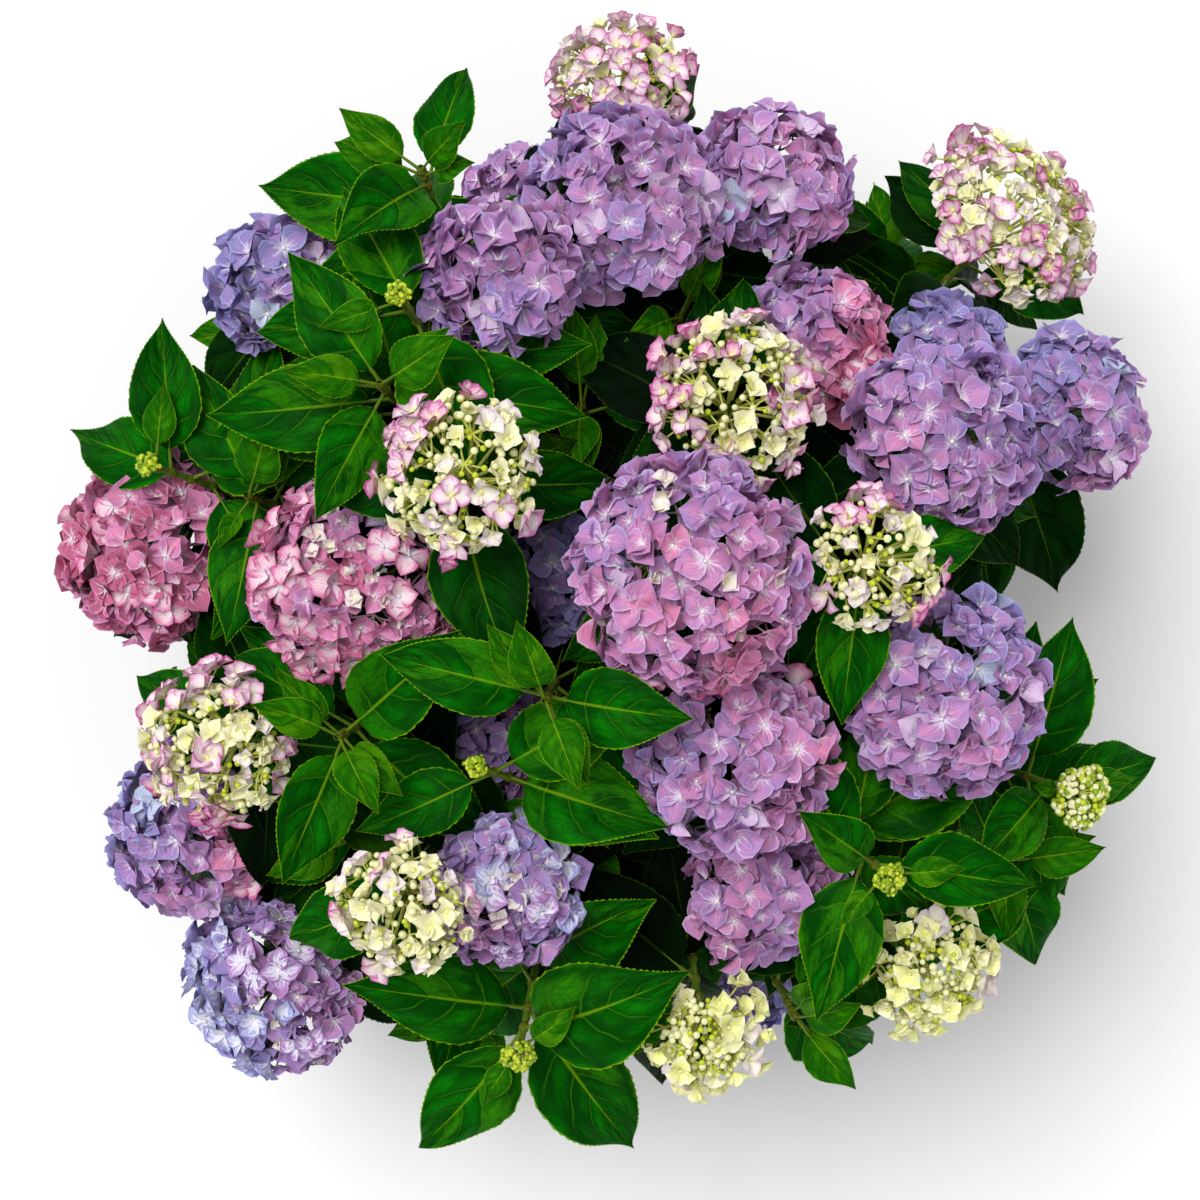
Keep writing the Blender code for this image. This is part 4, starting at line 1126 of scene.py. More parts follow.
def make_blade_group():
    """Skin of a leaf: its midrib, side veins, net of small veins, rim, quilted panels between the
    side veins, a painted sheen of paler patches on some of them, a soft mottle, and the height of all of
    these."""
    outputs = ("Rib", "Vein", "Net", "Rim", "Panel", "Patch", "Mottle", "Height")
    tree, given, out = new_group("leaf_skin", outputs)
    local, _, shift, seeded = cell_place(tree, given["Place"], LEAF_CELLS, CELL_STEP)
    parts = node(tree, "SeparateXYZ", {0: local}).outputs
    from_rib = calc(tree, "ABSOLUTE", calc(tree, "SUBTRACT", calc(tree, "MULTIPLY", parts[0], 2.0), 1.0))
    rib_width = calc(tree, "MULTIPLY_ADD", parts[1], RIB_THINNING, RIB_WIDTH)
    rib = calc(tree, "SUBTRACT", 1.0, calc(tree, "DIVIDE", from_rib, rib_width), clamp=True)
    wander = calc(tree, "MULTIPLY", cloud(tree, seeded, *VEIN_CLOUD), VEIN_WANDER)
    phase = calc(tree, "MULTIPLY_ADD", parts[1], float(VEIN_PAIRS), wander)
    phase = calc(tree, "SUBTRACT", phase, VEIN_WANDER / 2)
    right = calc(tree, "GREATER_THAN", parts[0], 0.5)
    panel_of = node(tree, "CombineXYZ", {0: calc(tree, "FLOOR", phase), 1: right}).outputs[0]
    panel_of = vector(tree, "ADD", panel_of, shift)
    chance = node(tree, "TexWhiteNoise", {"Vector": panel_of}).outputs["Value"]
    net_along = calc(tree, "MULTIPLY", phase, NET_ALONG)
    net_across = calc(tree, "MULTIPLY", parts[0], NET_ACROSS)
    net_place = vector(tree, "ADD", node(tree, "CombineXYZ", {0: net_along, 1: net_across}).outputs[0], shift)
    net = {"Vector": net_place, "Scale": 1.0}
    from_net = node(tree, "TexVoronoi", net, feature="DISTANCE_TO_EDGE").outputs[0]
    from_middle = calc(tree, "ABSOLUTE", calc(tree, "SUBTRACT", calc(tree, "FRACT", phase), 0.5))
    to_vein = calc(tree, "MULTIPLY", from_middle, 2.0)
    vein = calc(tree, "MULTIPLY", step_up(tree, to_vein, *VEIN_EDGE), step_up(tree, from_rib, *VEIN_REACH))
    panel = calc(tree, "SUBTRACT", 1.0, calc(tree, "POWER", to_vein, 2.0))
    mottle = cloud(tree, seeded, *LEAF_MOTTLE)
    # Painted sheen: paler patches on some panels, where a glossy leaf would catch the light.
    sheen = calc(tree, "MULTIPLY", step_up(tree, chance, *SHEEN_CHANCE), step_up(tree, mottle, *SHEEN_EDGE))
    quilt = calc(tree, "MULTIPLY", panel, PANEL_HEIGHT)
    height = calc(tree, "SUBTRACT", quilt, calc(tree, "MULTIPLY", vein, VEIN_DEPTH))
    height = calc(tree, "MULTIPLY_ADD", calc(tree, "MINIMUM", from_net, NET_PIT), NET_HEIGHT, height)
    lead_out(tree, out, Rib=calc(tree, "POWER", rib, RIB_SHARPNESS), Vein=vein, Panel=panel, Height=height,
             Net=step_up(tree, from_net, *NET_EDGE), Rim=step_up(tree, from_rib, *LEAF_RIM), Patch=sheen,
             Mottle=mottle)
    return tree


blade_group = make_blade_group()


def layered(tree, colour, *layers):
    """Colour under others, each laid on by its mask and share."""
    for mask, share, over in layers:
        colour = blend(tree, calc(tree, "MULTIPLY", mask, share), colour, over)
    return colour


LEAF_SHINE = 0.02
LEAF_RELIEF = 0.0008
SHEEN_SHARE = 0.42
NET_SHARE = 0.40
VEIN_SHARE = 0.44
RIB_SHARE = 0.75
RIM_SHARE = 0.85
LIT_EDGE = (0.38, 0.66)
LIT_SHARE = 0.80
LIT_LEAST = 0.10
ROUGH_SPREAD = 0.2


def leaf_surface(name, green, panel, vein, rim, roughness):
    """Glossy leaf skin in one leaf colour, with light painted on its lit panels, a painted sheen, veins and
    rim.
    """
    made, tree, shader, place = surface(name, roughness, LEAF_SHINE)
    skin = node(tree, "Group", {"Place": place}, node_tree=blade_group).outputs
    patches = calc(tree, "MULTIPLY_ADD", step_up(tree, skin["Mottle"], *LIT_EDGE), LIT_SHARE, LIT_LEAST)
    # Painted light: each quilted panel lighter toward its middle in mottled patches, and on some panels a
    # painted sheen in the vein colour.
    lit = blend(tree, calc(tree, "MULTIPLY", skin["Panel"], patches), green, panel)
    colour = layered(tree, lit, (skin["Patch"], SHEEN_SHARE, vein), (skin["Net"], NET_SHARE, green),
                     (skin["Vein"], VEIN_SHARE, vein), (skin["Rib"], RIB_SHARE, rim),
                     (skin["Rim"], RIM_SHARE, rim))
    rough = calc(tree, "MULTIPLY_ADD", skin["Mottle"], ROUGH_SPREAD, roughness - ROUGH_SPREAD / 2)
    finish_surface(tree, shader, colour, skin["Height"], LEAF_RELIEF, rough)
    return made


# Leaf colours, young, then bright down to dark with shade painted in for leaves deep in the crown: blade,
# lit panel, vein, rim, and roughness
LEAF_COLOURS = {
    "young": ((0.005, 0.090, 0.001), (0.040, 0.235, 0.001), (0.115, 0.310, 0.004),
              (0.230, 0.390, 0.008), 0.42),
    "bright": ((0.001, 0.042, 0.001), (0.003, 0.165, 0.001), (0.050, 0.260, 0.002),
               (0.180, 0.350, 0.004), 0.44),
    "middle": ((0.001, 0.022, 0.001), (0.001, 0.082, 0.001), (0.022, 0.140, 0.001),
               (0.130, 0.270, 0.003), 0.46),
    "olive": ((0.003, 0.030, 0.001), (0.026, 0.088, 0.001), (0.062, 0.140, 0.002),
              (0.140, 0.225, 0.004), 0.48),
    # The two darkest colours are painted shade for the leaves inside the crown.
    "deep": ((0.001, 0.011, 0.001), (0.001, 0.034, 0.001), (0.006, 0.056, 0.001),
             (0.056, 0.135, 0.002), 0.5),
    "dark": ((0.001, 0.004, 0.001), (0.001, 0.011, 0.001), (0.001, 0.018, 0.001),
             (0.014, 0.044, 0.001), 0.56),
}

# Colours that a leaf may take, by how far it lies under the dome, and for the leaves that lie
# deeper still by how far out they are. The colours darken with depth as painted shade, less so
# for the outer leaves low down.
TINTS_BY_DEPTH = (
    (0.010, ("bright", "middle")),
    (0.036, ("middle", "middle", "olive", "deep")),
    (0.066, ("deep", "deep", "dark")),
)
TINTS_BY_REACH = (
    (0.62, ("deep", "middle", "middle")),
    (0.50, ("deep", "dark")),
)
TINT_PLACE = 0.6
YOUNG_BLADE = 0.07
YOUNG_DEPTH = 0.12
BRIGHT_DEPTH = 0.07


def leaf_tint(leaf, rng):
    """Colour of a leaf: pale and young beside a bud, and darker the lower it lies under the dome, with shade
    painted into its colour.
    """
    middle = midrib(leaf, leaf.length * TINT_PLACE)[0]
    outward = middle.xy.length / CROWN_RADIUS
    depth = (1.0 - math.hypot(outward, max(middle.z - RIM_HEIGHT, 0.0) / DOME_RISE)) * DOME_RISE
    if leaf.twig.kind in ("bud", "rim_bud", "leafy"):
        if leaf.blade < YOUNG_BLADE and depth < YOUNG_DEPTH:
            return "young"
        if depth < BRIGHT_DEPTH:
            return "bright"
    # Painted shade: the deeper a leaf lies under the dome, the darker the colour it is given.
    for deepest, tints in TINTS_BY_DEPTH:
        if depth < deepest:
            return rng.choice(tints)
    for nearest, tints in TINTS_BY_REACH:
        if outward > nearest:
            return rng.choice(tints)
    return "dark"


STALK_STATIONS = (0.0, 0.35, 0.75, 1.0)
RIB_STATIONS = np.array([0.12, 0.3, 0.5, 0.7, 0.88])
RIB_SINK = 0.0009
STALK_RADII = np.array([0.0021, 0.0016, 0.0015, 0.0014, 0.0012, 0.0010, 0.0008, 0.0005, 0.0002])
STALK_SIDES = 4
FULL_BLADE = 0.13
LEAST_STALK = 0.6


def stalk_run(leaf):
    """Middle line and radii of a leaf's stalk and of the rib that it carries on under the blade."""
    stalk = [tuple(midrib(leaf, STALK * share)[0]) for share in STALK_STATIONS]
    drop = leaf.lift * leaf.blade * RIB_STATIONS ** 3 - RIB_SINK
    rib = place_on_blade(leaf, RIB_STATIONS, leaf.sickle * leaf.blade * RIB_STATIONS ** 2, drop)
    radii = STALK_RADII * (LEAST_STALK + (1 - LEAST_STALK) * leaf.blade / FULL_BLADE)
    return np.vstack([stalk, rib]), np.repeat(radii[:, None], STALK_SIDES, axis=1)


blades = {tint: [] for tint in LEAF_COLOURS}
stalk_runs = []
for index, leaf in enumerate(leaves):
    rng = random.Random(f"{SEED} blade {index}")
    leaf.breadth = rng.uniform(0.90, 1.10)
    leaf.fold = rng.uniform(0.12, 0.60)
    leaf.cup = rng.uniform(0.02, 0.34)
    leaf.wave = rng.uniform(0.012, 0.040)
    leaf.phase = rng.uniform(0.0, 2 * math.pi)
    leaf.twist = rng.uniform(-0.35, 0.35)
    leaf.sickle = rng.uniform(-0.07, 0.07)
    leaf.lift = rng.uniform(0.0, 0.14)
    tint = leaf_tint(leaf, rng)
    cell = (rng.randrange(LEAF_CELLS) / LEAF_CELLS, rng.randrange(LEAF_CELLS) / LEAF_CELLS)
    blades[tint].append((leaf_points(leaf), cell))
    stalk_runs.append(stalk_run(leaf))

leaf_faces = leaf_pattern()
for tint, colours in LEAF_COLOURS.items():
    points, cells = zip(*blades[tint])
    join(f"leaves_{tint}", [(leaf_faces, points, cells, 1.0 / LEAF_CELLS)],
         leaf_surface(f"leaf_{tint}", *colours), MASSES)

stalk_paths, stalk_radii = map(np.array, zip(*stalk_runs))
stalk_green = stem_surface("stalk_green", (0.080, 0.170, 0.005), (0.200, 0.300, 0.014), (0.150, 0.140, 0.020))
join("leaf_stalks", [tubes(stalk_paths, stalk_radii)], stalk_green, MASSES)

# Joints: the swollen ring where a leaf pair clasps its shoot, stained reddish brown. It is one
# short barrel-shaped collar round the shoot at every pair, in the same soft skin as the shoot.

JOINT_SIDES = 7
JOINT_HALF = 0.0048
JOINT_RADIUS = 0.0040
JOINT_SWELL = np.array([0.55, 0.9, 1.0, 0.9, 0.55])


def joint_path(leaf, near):
    """Short run through a leaf's joint, along its shoot where it passes nearest to a place."""
    run = np.array([tuple(point) for point in leaf.twig.path])
    nearest = np.argmin(np.linalg.norm(run - near, axis=1))
    low, high = max(0, nearest - 1), min(len(run) - 1, nearest + 1)
    direction = (run[high] - run[low]) / np.linalg.norm(run[high] - run[low])
    steps = np.linspace(-JOINT_HALF, JOINT_HALF, len(JOINT_SWELL))
    return np.array(tuple(leaf.root)) + direction * steps[:, None]


leaf_at_joint = {}
for leaf in leaves:
    leaf_at_joint.setdefault(tuple(round(value, 4) for value in leaf.root), leaf)
joint_paths = [joint_path(leaf, near) for near, leaf in leaf_at_joint.items()]
joint_radii = round_radii(JOINT_RADIUS * JOINT_SWELL, len(joint_paths), JOINT_SIDES)
joint_red = stem_surface("joint_red", (0.090, 0.120, 0.008), (0.160, 0.180, 0.018), (0.130, 0.055, 0.020))
join("shoot_joints", [tubes(joint_paths, joint_radii)], joint_red, MASSES)

# Open flower heads: domes of sterile florets. A floret is four broad pointed petals, now and
# then five, laid crosswise over one another round a small cream bead, each on its own thin
# stalk. The petals are pale lilac to pink and blue with darker veins and a white star inside.

GOLDEN_ANGLE = math.pi * (3.0 - math.sqrt(5.0))
SEAT_WANDER = 0.25
TOPMOST = 0.995
FACING_FLAT = 0.75


def head_seats(twig, count, lowest, inset, rng):
    """Places, facings and heights spread evenly over a head's dome, from its top down its sides."""
    index = np.arange(count) + 0.5
    height = 1 - index / count * (1 - lowest) + rng.uniform(-0.5, 0.5, count) * (1 - lowest) / count
    height = np.clip(height, lowest, TOPMOST)
    angle = GOLDEN_ANGLE * index + rng.uniform(-SEAT_WANDER, SEAT_WANDER, count) + rng.uniform(0, 2 * math.pi)
    level = np.sqrt(1 - height ** 2)
    unit = np.stack([level * np.cos(angle), level * np.sin(angle), height], axis=1)
    squash = np.where(height > 0, HEAD_SQUASH, HEAD_UNDERSIDE)
    reach = np.full(count, twig.radius - inset)
    facing = unit / (1.0, 1.0, FACING_FLAT)
    facing /= np.linalg.norm(facing, axis=1, keepdims=True)
    frame_of = np.array(twig.axis.to_track_quat("Z", "Y").to_matrix())
    local = unit * np.stack([reach, reach, squash * reach], axis=1)
    return local @ frame_of.T + np.array(tuple(twig.centre)), facing @ frame_of.T, height


def tilted(facing, amount, rng):
    """Directions each turned a little aside."""
    turned = facing + rng.normal(0.0, amount, facing.shape)
    return turned / np.linalg.norm(turned, axis=1, keepdims=True)


def square_to(facing):
    """Two directions square to each facing and to each other."""
    lean = np.where(np.abs(facing[:, 2:3]) > NEARLY_UPRIGHT, (1.0, 0.0, 0.0), (0.0, 0.0, 1.0))
    right = np.cross(facing, lean)
    right /= np.linalg.norm(right, axis=1, keepdims=True)
    return right, np.cross(facing, right)


PETAL_ROWS = np.array([0.0, 0.20, 0.42, 0.64, 0.83, 1.0])
PETAL_LINES = np.array([-1.0, -0.5, 0.0, 0.5, 1.0])
PETAL_OUTLINE = np.array([0.24, 0.76, 1.0, 0.84, 0.38, 0.0])
PETAL_GAP = 0.0008
HOLLOW_SHAPE = 1.5
PETAL_RIPPLE = 0.060
RIPPLE_ALONG = 7
RIPPLE_ACROSS = 2.5


def petal_points(centre, facing, spin, length, width, lift, curl, cup, twist, phase):
    """Points of a batch of petals, each given its floret's centre and facing, its turn round the
    floret, its size, how far it rises, how far its tip curls back, its hollow, its twist and
    where its ripple starts."""
    right, ahead = square_to(facing)
    out = right * np.cos(spin)[:, None] + ahead * np.sin(spin)[:, None]
    side = np.cross(facing, out)
    beside = side * np.cos(twist)[:, None] + facing * np.sin(twist)[:, None]
    over = facing * np.cos(twist)[:, None] - side * np.sin(twist)[:, None]
    rise = lift[:, None] - curl[:, None] * PETAL_ROWS[None, :]
    steps = np.diff(PETAL_ROWS)[None, :] * length[:, None]
    middle = (rise[:, 1:] + rise[:, :-1]) / 2
    foot = np.zeros((len(length), 1))
    along = np.concatenate([foot, np.cumsum(np.cos(middle) * steps, axis=1)], axis=1)
    up = np.concatenate([foot, np.cumsum(np.sin(middle) * steps, axis=1)], axis=1)
    half = PETAL_OUTLINE[None, :] * width[:, None]
    across = half[:, :, None] * PETAL_LINES[None, None, :]
    hollow = cup[:, None, None] * half[:, :, None] * np.abs(PETAL_LINES)[None, None, :] ** HOLLOW_SHAPE
    waves = RIPPLE_ALONG * PETAL_ROWS[None, :, None]
    ripple = np.sin(phase[:, None, None] + waves + RIPPLE_ACROSS * PETAL_LINES[None, None, :])
    hollow = hollow + PETAL_RIPPLE * length[:, None, None] * ripple * np.abs(PETAL_LINES)[None, None, :]
    x = along[:, :, None] - np.sin(rise)[:, :, None] * hollow + PETAL_GAP
    z = up[:, :, None] + np.cos(rise)[:, :, None] * hollow
    points = (centre[:, None, None, :] + out[:, None, None, :] * x[..., None]
              + beside[:, None, None, :] * across[..., None] + over[:, None, None, :] * z[..., None])
    body = points[:, :-1].reshape(len(length), -1, 3)
    return np.concatenate([body, points[:, -1, 2:3]], axis=1)


UPPER_PAIR = 0.0005
SPIN_SPREAD = 0.09
LENGTH_SPREAD = (0.9, 1.1)
BREADTH_SPREAD = 0.05
LIFT_SPREAD = 0.13
CURL_SPREAD = 0.20
CUP_SPREAD = 0.08
PETAL_TWIST = (0.10, 0.16)


def floret_petals(centre, facing, size, lift, curl, cup, rng, five=0.08, breadth=0.55):
    """Petals of a batch of florets: a crosswise lower and upper pair, and now and then a fifth."""
    batches = []
    start = rng.uniform(0, 2 * math.pi, len(centre))
    fifth = rng.random(len(centre)) < five
    for number in range(5):
        chosen = np.flatnonzero(fifth) if number == 4 else np.arange(len(centre))
        if len(chosen) == 0:
            continue
        total = np.where(fifth[chosen], 5, 4)
        spin = start[chosen] + 2 * math.pi * number / total + rng.normal(0, SPIN_SPREAD, len(chosen))
        length = size[chosen] * rng.uniform(*LENGTH_SPREAD, len(chosen))
        batches.append((chosen, petal_points(
            centre[chosen] + facing[chosen] * (UPPER_PAIR if number % 2 else 0.0),
            facing[chosen],
            spin,
            length,
            length * (breadth + rng.uniform(-BREADTH_SPREAD, BREADTH_SPREAD, len(chosen))),
            lift[chosen] + rng.normal(0, LIFT_SPREAD, len(chosen)),
            curl[chosen] + rng.normal(0, CURL_SPREAD, len(chosen)),
            cup[chosen] + rng.normal(0, CUP_SPREAD, len(chosen)),
            rng.normal(*PETAL_TWIST, len(chosen)),
            rng.uniform(0, 2 * math.pi, len(chosen)),
        )))
    return batches


PETAL_CELLS = 4
petal_copies = defaultdict(lambda: ([], []))
bead_copies = defaultdict(list)
stout_stalks = {"open": [], "half": []}
thin_stalks = {"open": [], "half": []}


def deal_petals(batches, tints, rng):
    """Keep batches of petals for the pieces of their florets' colours."""
    for chosen, points in batches:
        for tint in sorted(set(tints[chosen])):
            kept = points[tints[chosen] == tint]
            petal_copies[tint][0].append(kept)
            petal_copies[tint][1].append(rng.integers(0, PETAL_CELLS, (len(kept), 2)) / PETAL_CELLS)


def arc(starts, pulls, ends, count):
    """Points along a batch of simple curves."""
    t = np.linspace(0, 1, count)[None, :, None]
    return starts[:, None] * (1 - t) ** 2 + pulls[:, None] * 2 * t * (1 - t) + ends[:, None] * t ** 2


FORK_PULL = 0.55
FORK_SINK = 0.004
FORK_LOWEST = -0.15
HUB_LIFT = 0.06
STALK_SAG = 0.003
STALK_WANDER = 0.0008
STOUT_RINGS = 6
THIN_RINGS = 4


def forked_stalks(kind, twig, ends, facings, hub_drop, bunches, depth, rng):
    """Stalks of a head: stout ones from its hub to a ring of forks, and thin ones on from each
    fork to the florets or buds nearest to it."""
    axis = np.array(tuple(twig.axis))
    hub = np.array(tuple(twig.centre)) - axis * twig.radius * hub_drop
    forks = head_seats(twig, bunches, FORK_LOWEST, depth, rng)[0] - axis * FORK_SINK
    hubs = np.repeat(hub[None, :], bunches, axis=0)
    pulls = hub + (forks - hub) * FORK_PULL + axis * twig.radius * HUB_LIFT
    stout_stalks[kind].append(arc(hubs, pulls, forks, STOUT_RINGS))
    starts = forks[np.argmin(np.linalg.norm(ends[:, None] - forks[None], axis=2), axis=1)]
    wander = rng.normal(0, STALK_WANDER, ends.shape)
    pulls = starts + (ends - starts) * FORK_PULL - facings * STALK_SAG + wander
    thin_stalks[kind].append(arc(starts, pulls, ends, THIN_RINGS))


def seen(red, green, blue):
    """Colour given as it is seen, 0 to 255, as the surface's own linear colour."""
    return tuple((value / 255 / 12.92) if value <= 10 else ((value / 255 + 0.055) / 1.055) ** 2.4
                 for value in (red, green, blue))


# Petal colours from hot pink to blue, the same washed paler, and those with a large white
# star: name, inside, edge, vein and rim
PETAL_COLOURS = (
    ("rose", seen(186, 88, 126), seen(204, 112, 154), seen(148, 46, 88), seen(222, 152, 182)),
    ("pink", seen(226, 142, 178), seen(202, 134, 190), seen(188, 88, 136), seen(234, 194, 216)),
    ("mauve", seen(215, 139, 182), seen(178, 137, 198), seen(176, 90, 144), seen(212, 192, 224)),
    ("lilac", seen(200, 134, 182), seen(160, 137, 201), seen(152, 92, 150), seen(196, 188, 224)),
    ("violet", seen(182, 129, 182), seen(148, 139, 205), seen(132, 90, 150), seen(186, 188, 226)),
    ("periwinkle", seen(166, 133, 187), seen(137, 143, 206), seen(116, 96, 160), seen(176, 184, 226)),
    ("blue", seen(140, 138, 190), seen(146, 156, 206), seen(100, 102, 164), seen(172, 192, 226)),
)
PALE_COLOURS = (
    ("pale_pink", seen(244, 226, 230), seen(232, 182, 206), seen(204, 96, 150), seen(206, 94, 152)),
    ("pale_lilac", seen(226, 208, 228), seen(200, 162, 208), seen(168, 118, 176), seen(190, 158, 212)),
    ("pale_blue", seen(206, 214, 230), seen(184, 192, 222), seen(138, 148, 196), seen(176, 186, 222)),
    ("star_lilac", seen(204, 166, 214), seen(186, 134, 200), seen(148, 90, 166), seen(158, 106, 180)),
    ("star_blue", seen(186, 192, 226), seen(166, 166, 214), seen(120, 120, 184), seen(136, 134, 198)),
)
WASHED = ("pale_pink", "pale_lilac", "pale_blue")
STARRED = ("pale_pink", "star_lilac", "star_blue")
STARRED_HEAD = 0.4

Bloom = namedtuple("Bloom", "hue drift toward pale young size", defaults=(0.05, 0.0, 1.0))

# Colour of each open head: its place on the scale from hot pink, 0, to blue, 1, how far it
# drifts across the head and toward which bearing, its shares of pale and of young florets, and
# the size of its florets
BLOOMS = {
    ("north", 1): Bloom(0.54, 0.10, 150),
    ("north_east", 0): Bloom(0.46, 0.10, 200),
    ("north_east", 1): Bloom(0.30, 0.40, 140, 0.12),
    ("north_west", 0): Bloom(0.50, 0.12, 250, 0.10),
    ("west_upper", 0): Bloom(0.76, 0.12, 180, 0.08),
    ("west", 0): Bloom(0.08, 0.06, 0, 0.20, 0.03, 0.94),
    ("heart_west", 0): Bloom(0.18, 0.06, 90, 0.75, 0.36, 0.84),
    ("heart", 0): Bloom(0.36, 0.12, 90, 0.06, 0.16),
    ("heart", 1): Bloom(0.82, 0.08, 180, 0.0),
    ("far_north_east", 1): Bloom(0.78, 0.10, 120, 0.0),
    ("east", 0): Bloom(0.54, 0.14, 60, 0.0),
    ("east", 1): Bloom(0.62, 0.22, 120),
    ("east_lower", 1): Bloom(0.56, 0.16, 60, 0.10),
    ("south_east", 0): Bloom(0.42, 0.12, 180, 0.08),
    ("south_east", 1): Bloom(0.40, 0.10, 0, 0.06),
    ("south_west", 1): Bloom(0.62, 0.16, 60, 0.55, 0.25, 0.82),
    ("south_west", 2): Bloom(0.60, 0.10, 180, 0.0),
    ("west_lower", 1): Bloom(0.50, 0.36, 170, 0.15, 0.06, 0.90),
    ("far_south_west", 0): Bloom(0.64, 0.36, 200, 0.48, 0.18, 0.84),
}
SIDE_BLOOMS = (Bloom(0.5, 0.1, 0), Bloom(0.2, 0.1, 0), Bloom(0.75, 0.1, 0))

FLORET_SPACING = 0.0185
FLORETS_PER_SQUARE = 4.6
OPEN_LOWEST = -0.42
OPEN_INSET = 0.0080
OPEN_TILT = 0.36
UNDER_SHARE = 0.45
UNDER_LOWEST = -0.1
UNDER_INSET = 0.0175
LUMP_SCALE = 17.0
LUMP_SHIFT = Vector((9.0, 4.0, 0.0))
LUMP_LIFT = 0.009
LUMP_MOST = 0.3
FLORET_JITTER = 0.0026
HUE_SCALE = 28.0
HUE_CLOUD = 0.16
HUE_JITTER = 0.05
SMALL_HEAD = 0.06
SMALL_HEAD_FLORET = 0.93
PETAL_LENGTH = (0.0182, 0.0022)
LENGTH_RANGE = (0.0130, 0.0218)
OPEN_LIFT = (0.34, 0.20)
OPEN_CURL = (0.40, 0.28)
OPEN_CUP = (0.54, 0.18)
YOUNG_ANYWHERE = 0.3
YOUNG_ON_TOP = 1.6
YOUNG_SIZE = 0.55
YOUNG_LIFT = (0.9, 0.15)
YOUNG_SINK = 0.004
EYE_HEIGHT = 0.0010
EYE_RADII = (0.0014, 0.0019)

# Stalks of a head: how far under its middle they start, as a share of its radius, how many
# forks they make, and how deep those lie
OPEN_FORKS = (0.25, 12, 0.024)
HALF_FORKS = (0.5, 20, 0.019)


def floret_tint(hue, level, pale, young, washed):
    """Colour of one floret."""
    if young:
        return "ivory"
    if pale:
        return washed[int(np.clip(hue, 0, 0.99) * 3)]
    return PETAL_COLOURS[level][0]


def open_head(twig, bloom, seed):
    """Florets of one open head in two layers, dealt out to the colours by place in the head."""
    rng = np.random.default_rng([SEED, seed])
    count = round(FLORETS_PER_SQUARE * (twig.radius / FLORET_SPACING / bloom.size) ** 2)
    under = round(UNDER_SHARE * count)
    layers = (head_seats(twig, count, OPEN_LOWEST, OPEN_INSET, rng),
              head_seats(twig, under, UNDER_LOWEST, UNDER_INSET, rng))
    centre, facing, height = (np.concatenate(parts) for parts in zip(*layers))
    upper = np.arange(count + under) < count
    count += under
    facing = tilted(facing, OPEN_TILT, rng)
    lumps = np.array([noise.noise(Vector(place) * LUMP_SCALE + LUMP_SHIFT) for place in centre])
    rise = rng.normal(0.0, FLORET_JITTER, count) + LUMP_LIFT * np.minimum(lumps, LUMP_MOST)
    centre = centre + facing * rise[:, None]
    toward = np.array([math.cos(math.radians(bloom.toward)), math.sin(math.radians(bloom.toward)), 0.0])
    offset = (centre - np.array(tuple(twig.centre))) @ toward / twig.radius
    waves = np.array([noise.noise(Vector(place) * HUE_SCALE) for place in centre])
    hue = bloom.hue + bloom.drift * offset + HUE_CLOUD * waves + rng.normal(0, HUE_JITTER, count)
    level = np.clip(np.round(hue * (len(PETAL_COLOURS) - 1)), 0, len(PETAL_COLOURS) - 1).astype(int)
    pale = (rng.random(count) < bloom.pale) & upper
    youth = bloom.young * (YOUNG_ANYWHERE + YOUNG_ON_TOP * np.clip(height, 0, 1) ** 2)
    young = (rng.random(count) < youth) & upper
    size = np.clip(rng.normal(*PETAL_LENGTH, count), *LENGTH_RANGE)
    size = size * (SMALL_HEAD_FLORET if twig.radius < SMALL_HEAD else bloom.size)
    size = np.where(young, size * YOUNG_SIZE, size)
    lift = np.where(young, rng.normal(*YOUNG_LIFT, count), rng.normal(*OPEN_LIFT, count))
    curl = rng.normal(*OPEN_CURL, count)
    cup = rng.normal(*OPEN_CUP, count)
    centre = centre - facing * np.where(young, YOUNG_SINK, 0.0)[:, None]
    washed = STARRED if bloom.pale > STARRED_HEAD else WASHED
    tints = np.array([floret_tint(*floret, washed) for floret in zip(hue, level, pale, young)])
    deal_petals(floret_petals(centre, facing, size, lift, curl, cup, rng), tints, rng)
    radii = rng.uniform(*EYE_RADII, count)
    bead_copies["floret_beads"].append((centre + facing * EYE_HEIGHT, facing, radii))
    forked_stalks("open", twig, centre[upper], facing[upper], *OPEN_FORKS, rng)


side_heads = [twig for twig in twigs if twig.side and twig.kind == "open"]
for number, twig in enumerate(twigs):
    if twig.kind == "open" and twig.side:
        open_head(twig, SIDE_BLOOMS[side_heads.index(twig) % len(SIDE_BLOOMS)], number)
    elif twig.kind == "open":
        open_head(twig, BLOOMS[(twig.mass.name, twig.mass.twigs.index(twig))], number)

# Half-open heads: flat lacy domes still in bud. Round cream and green buds stand on pale forked
# stalks in the middle, small cupped cream florets among them, and larger ones with pink-edged
# petals toward the rim, with dark gaps in between.

# Share of pink-edged florets in each half-open head
FLUSH = {
    ("north", 0): 0.75,
    ("heart_west", 1): 0.28,
    ("heart_east", 0): 0.50,
    ("far_north_east", 0): 0.50,
    ("east_lower", 0): 0.25,
    ("far_south_east", 0): 0.16,
    ("south", 0): 0.04,
    ("south_west", 0): 0.28,
    ("west_lower", 0): 0.45,
}

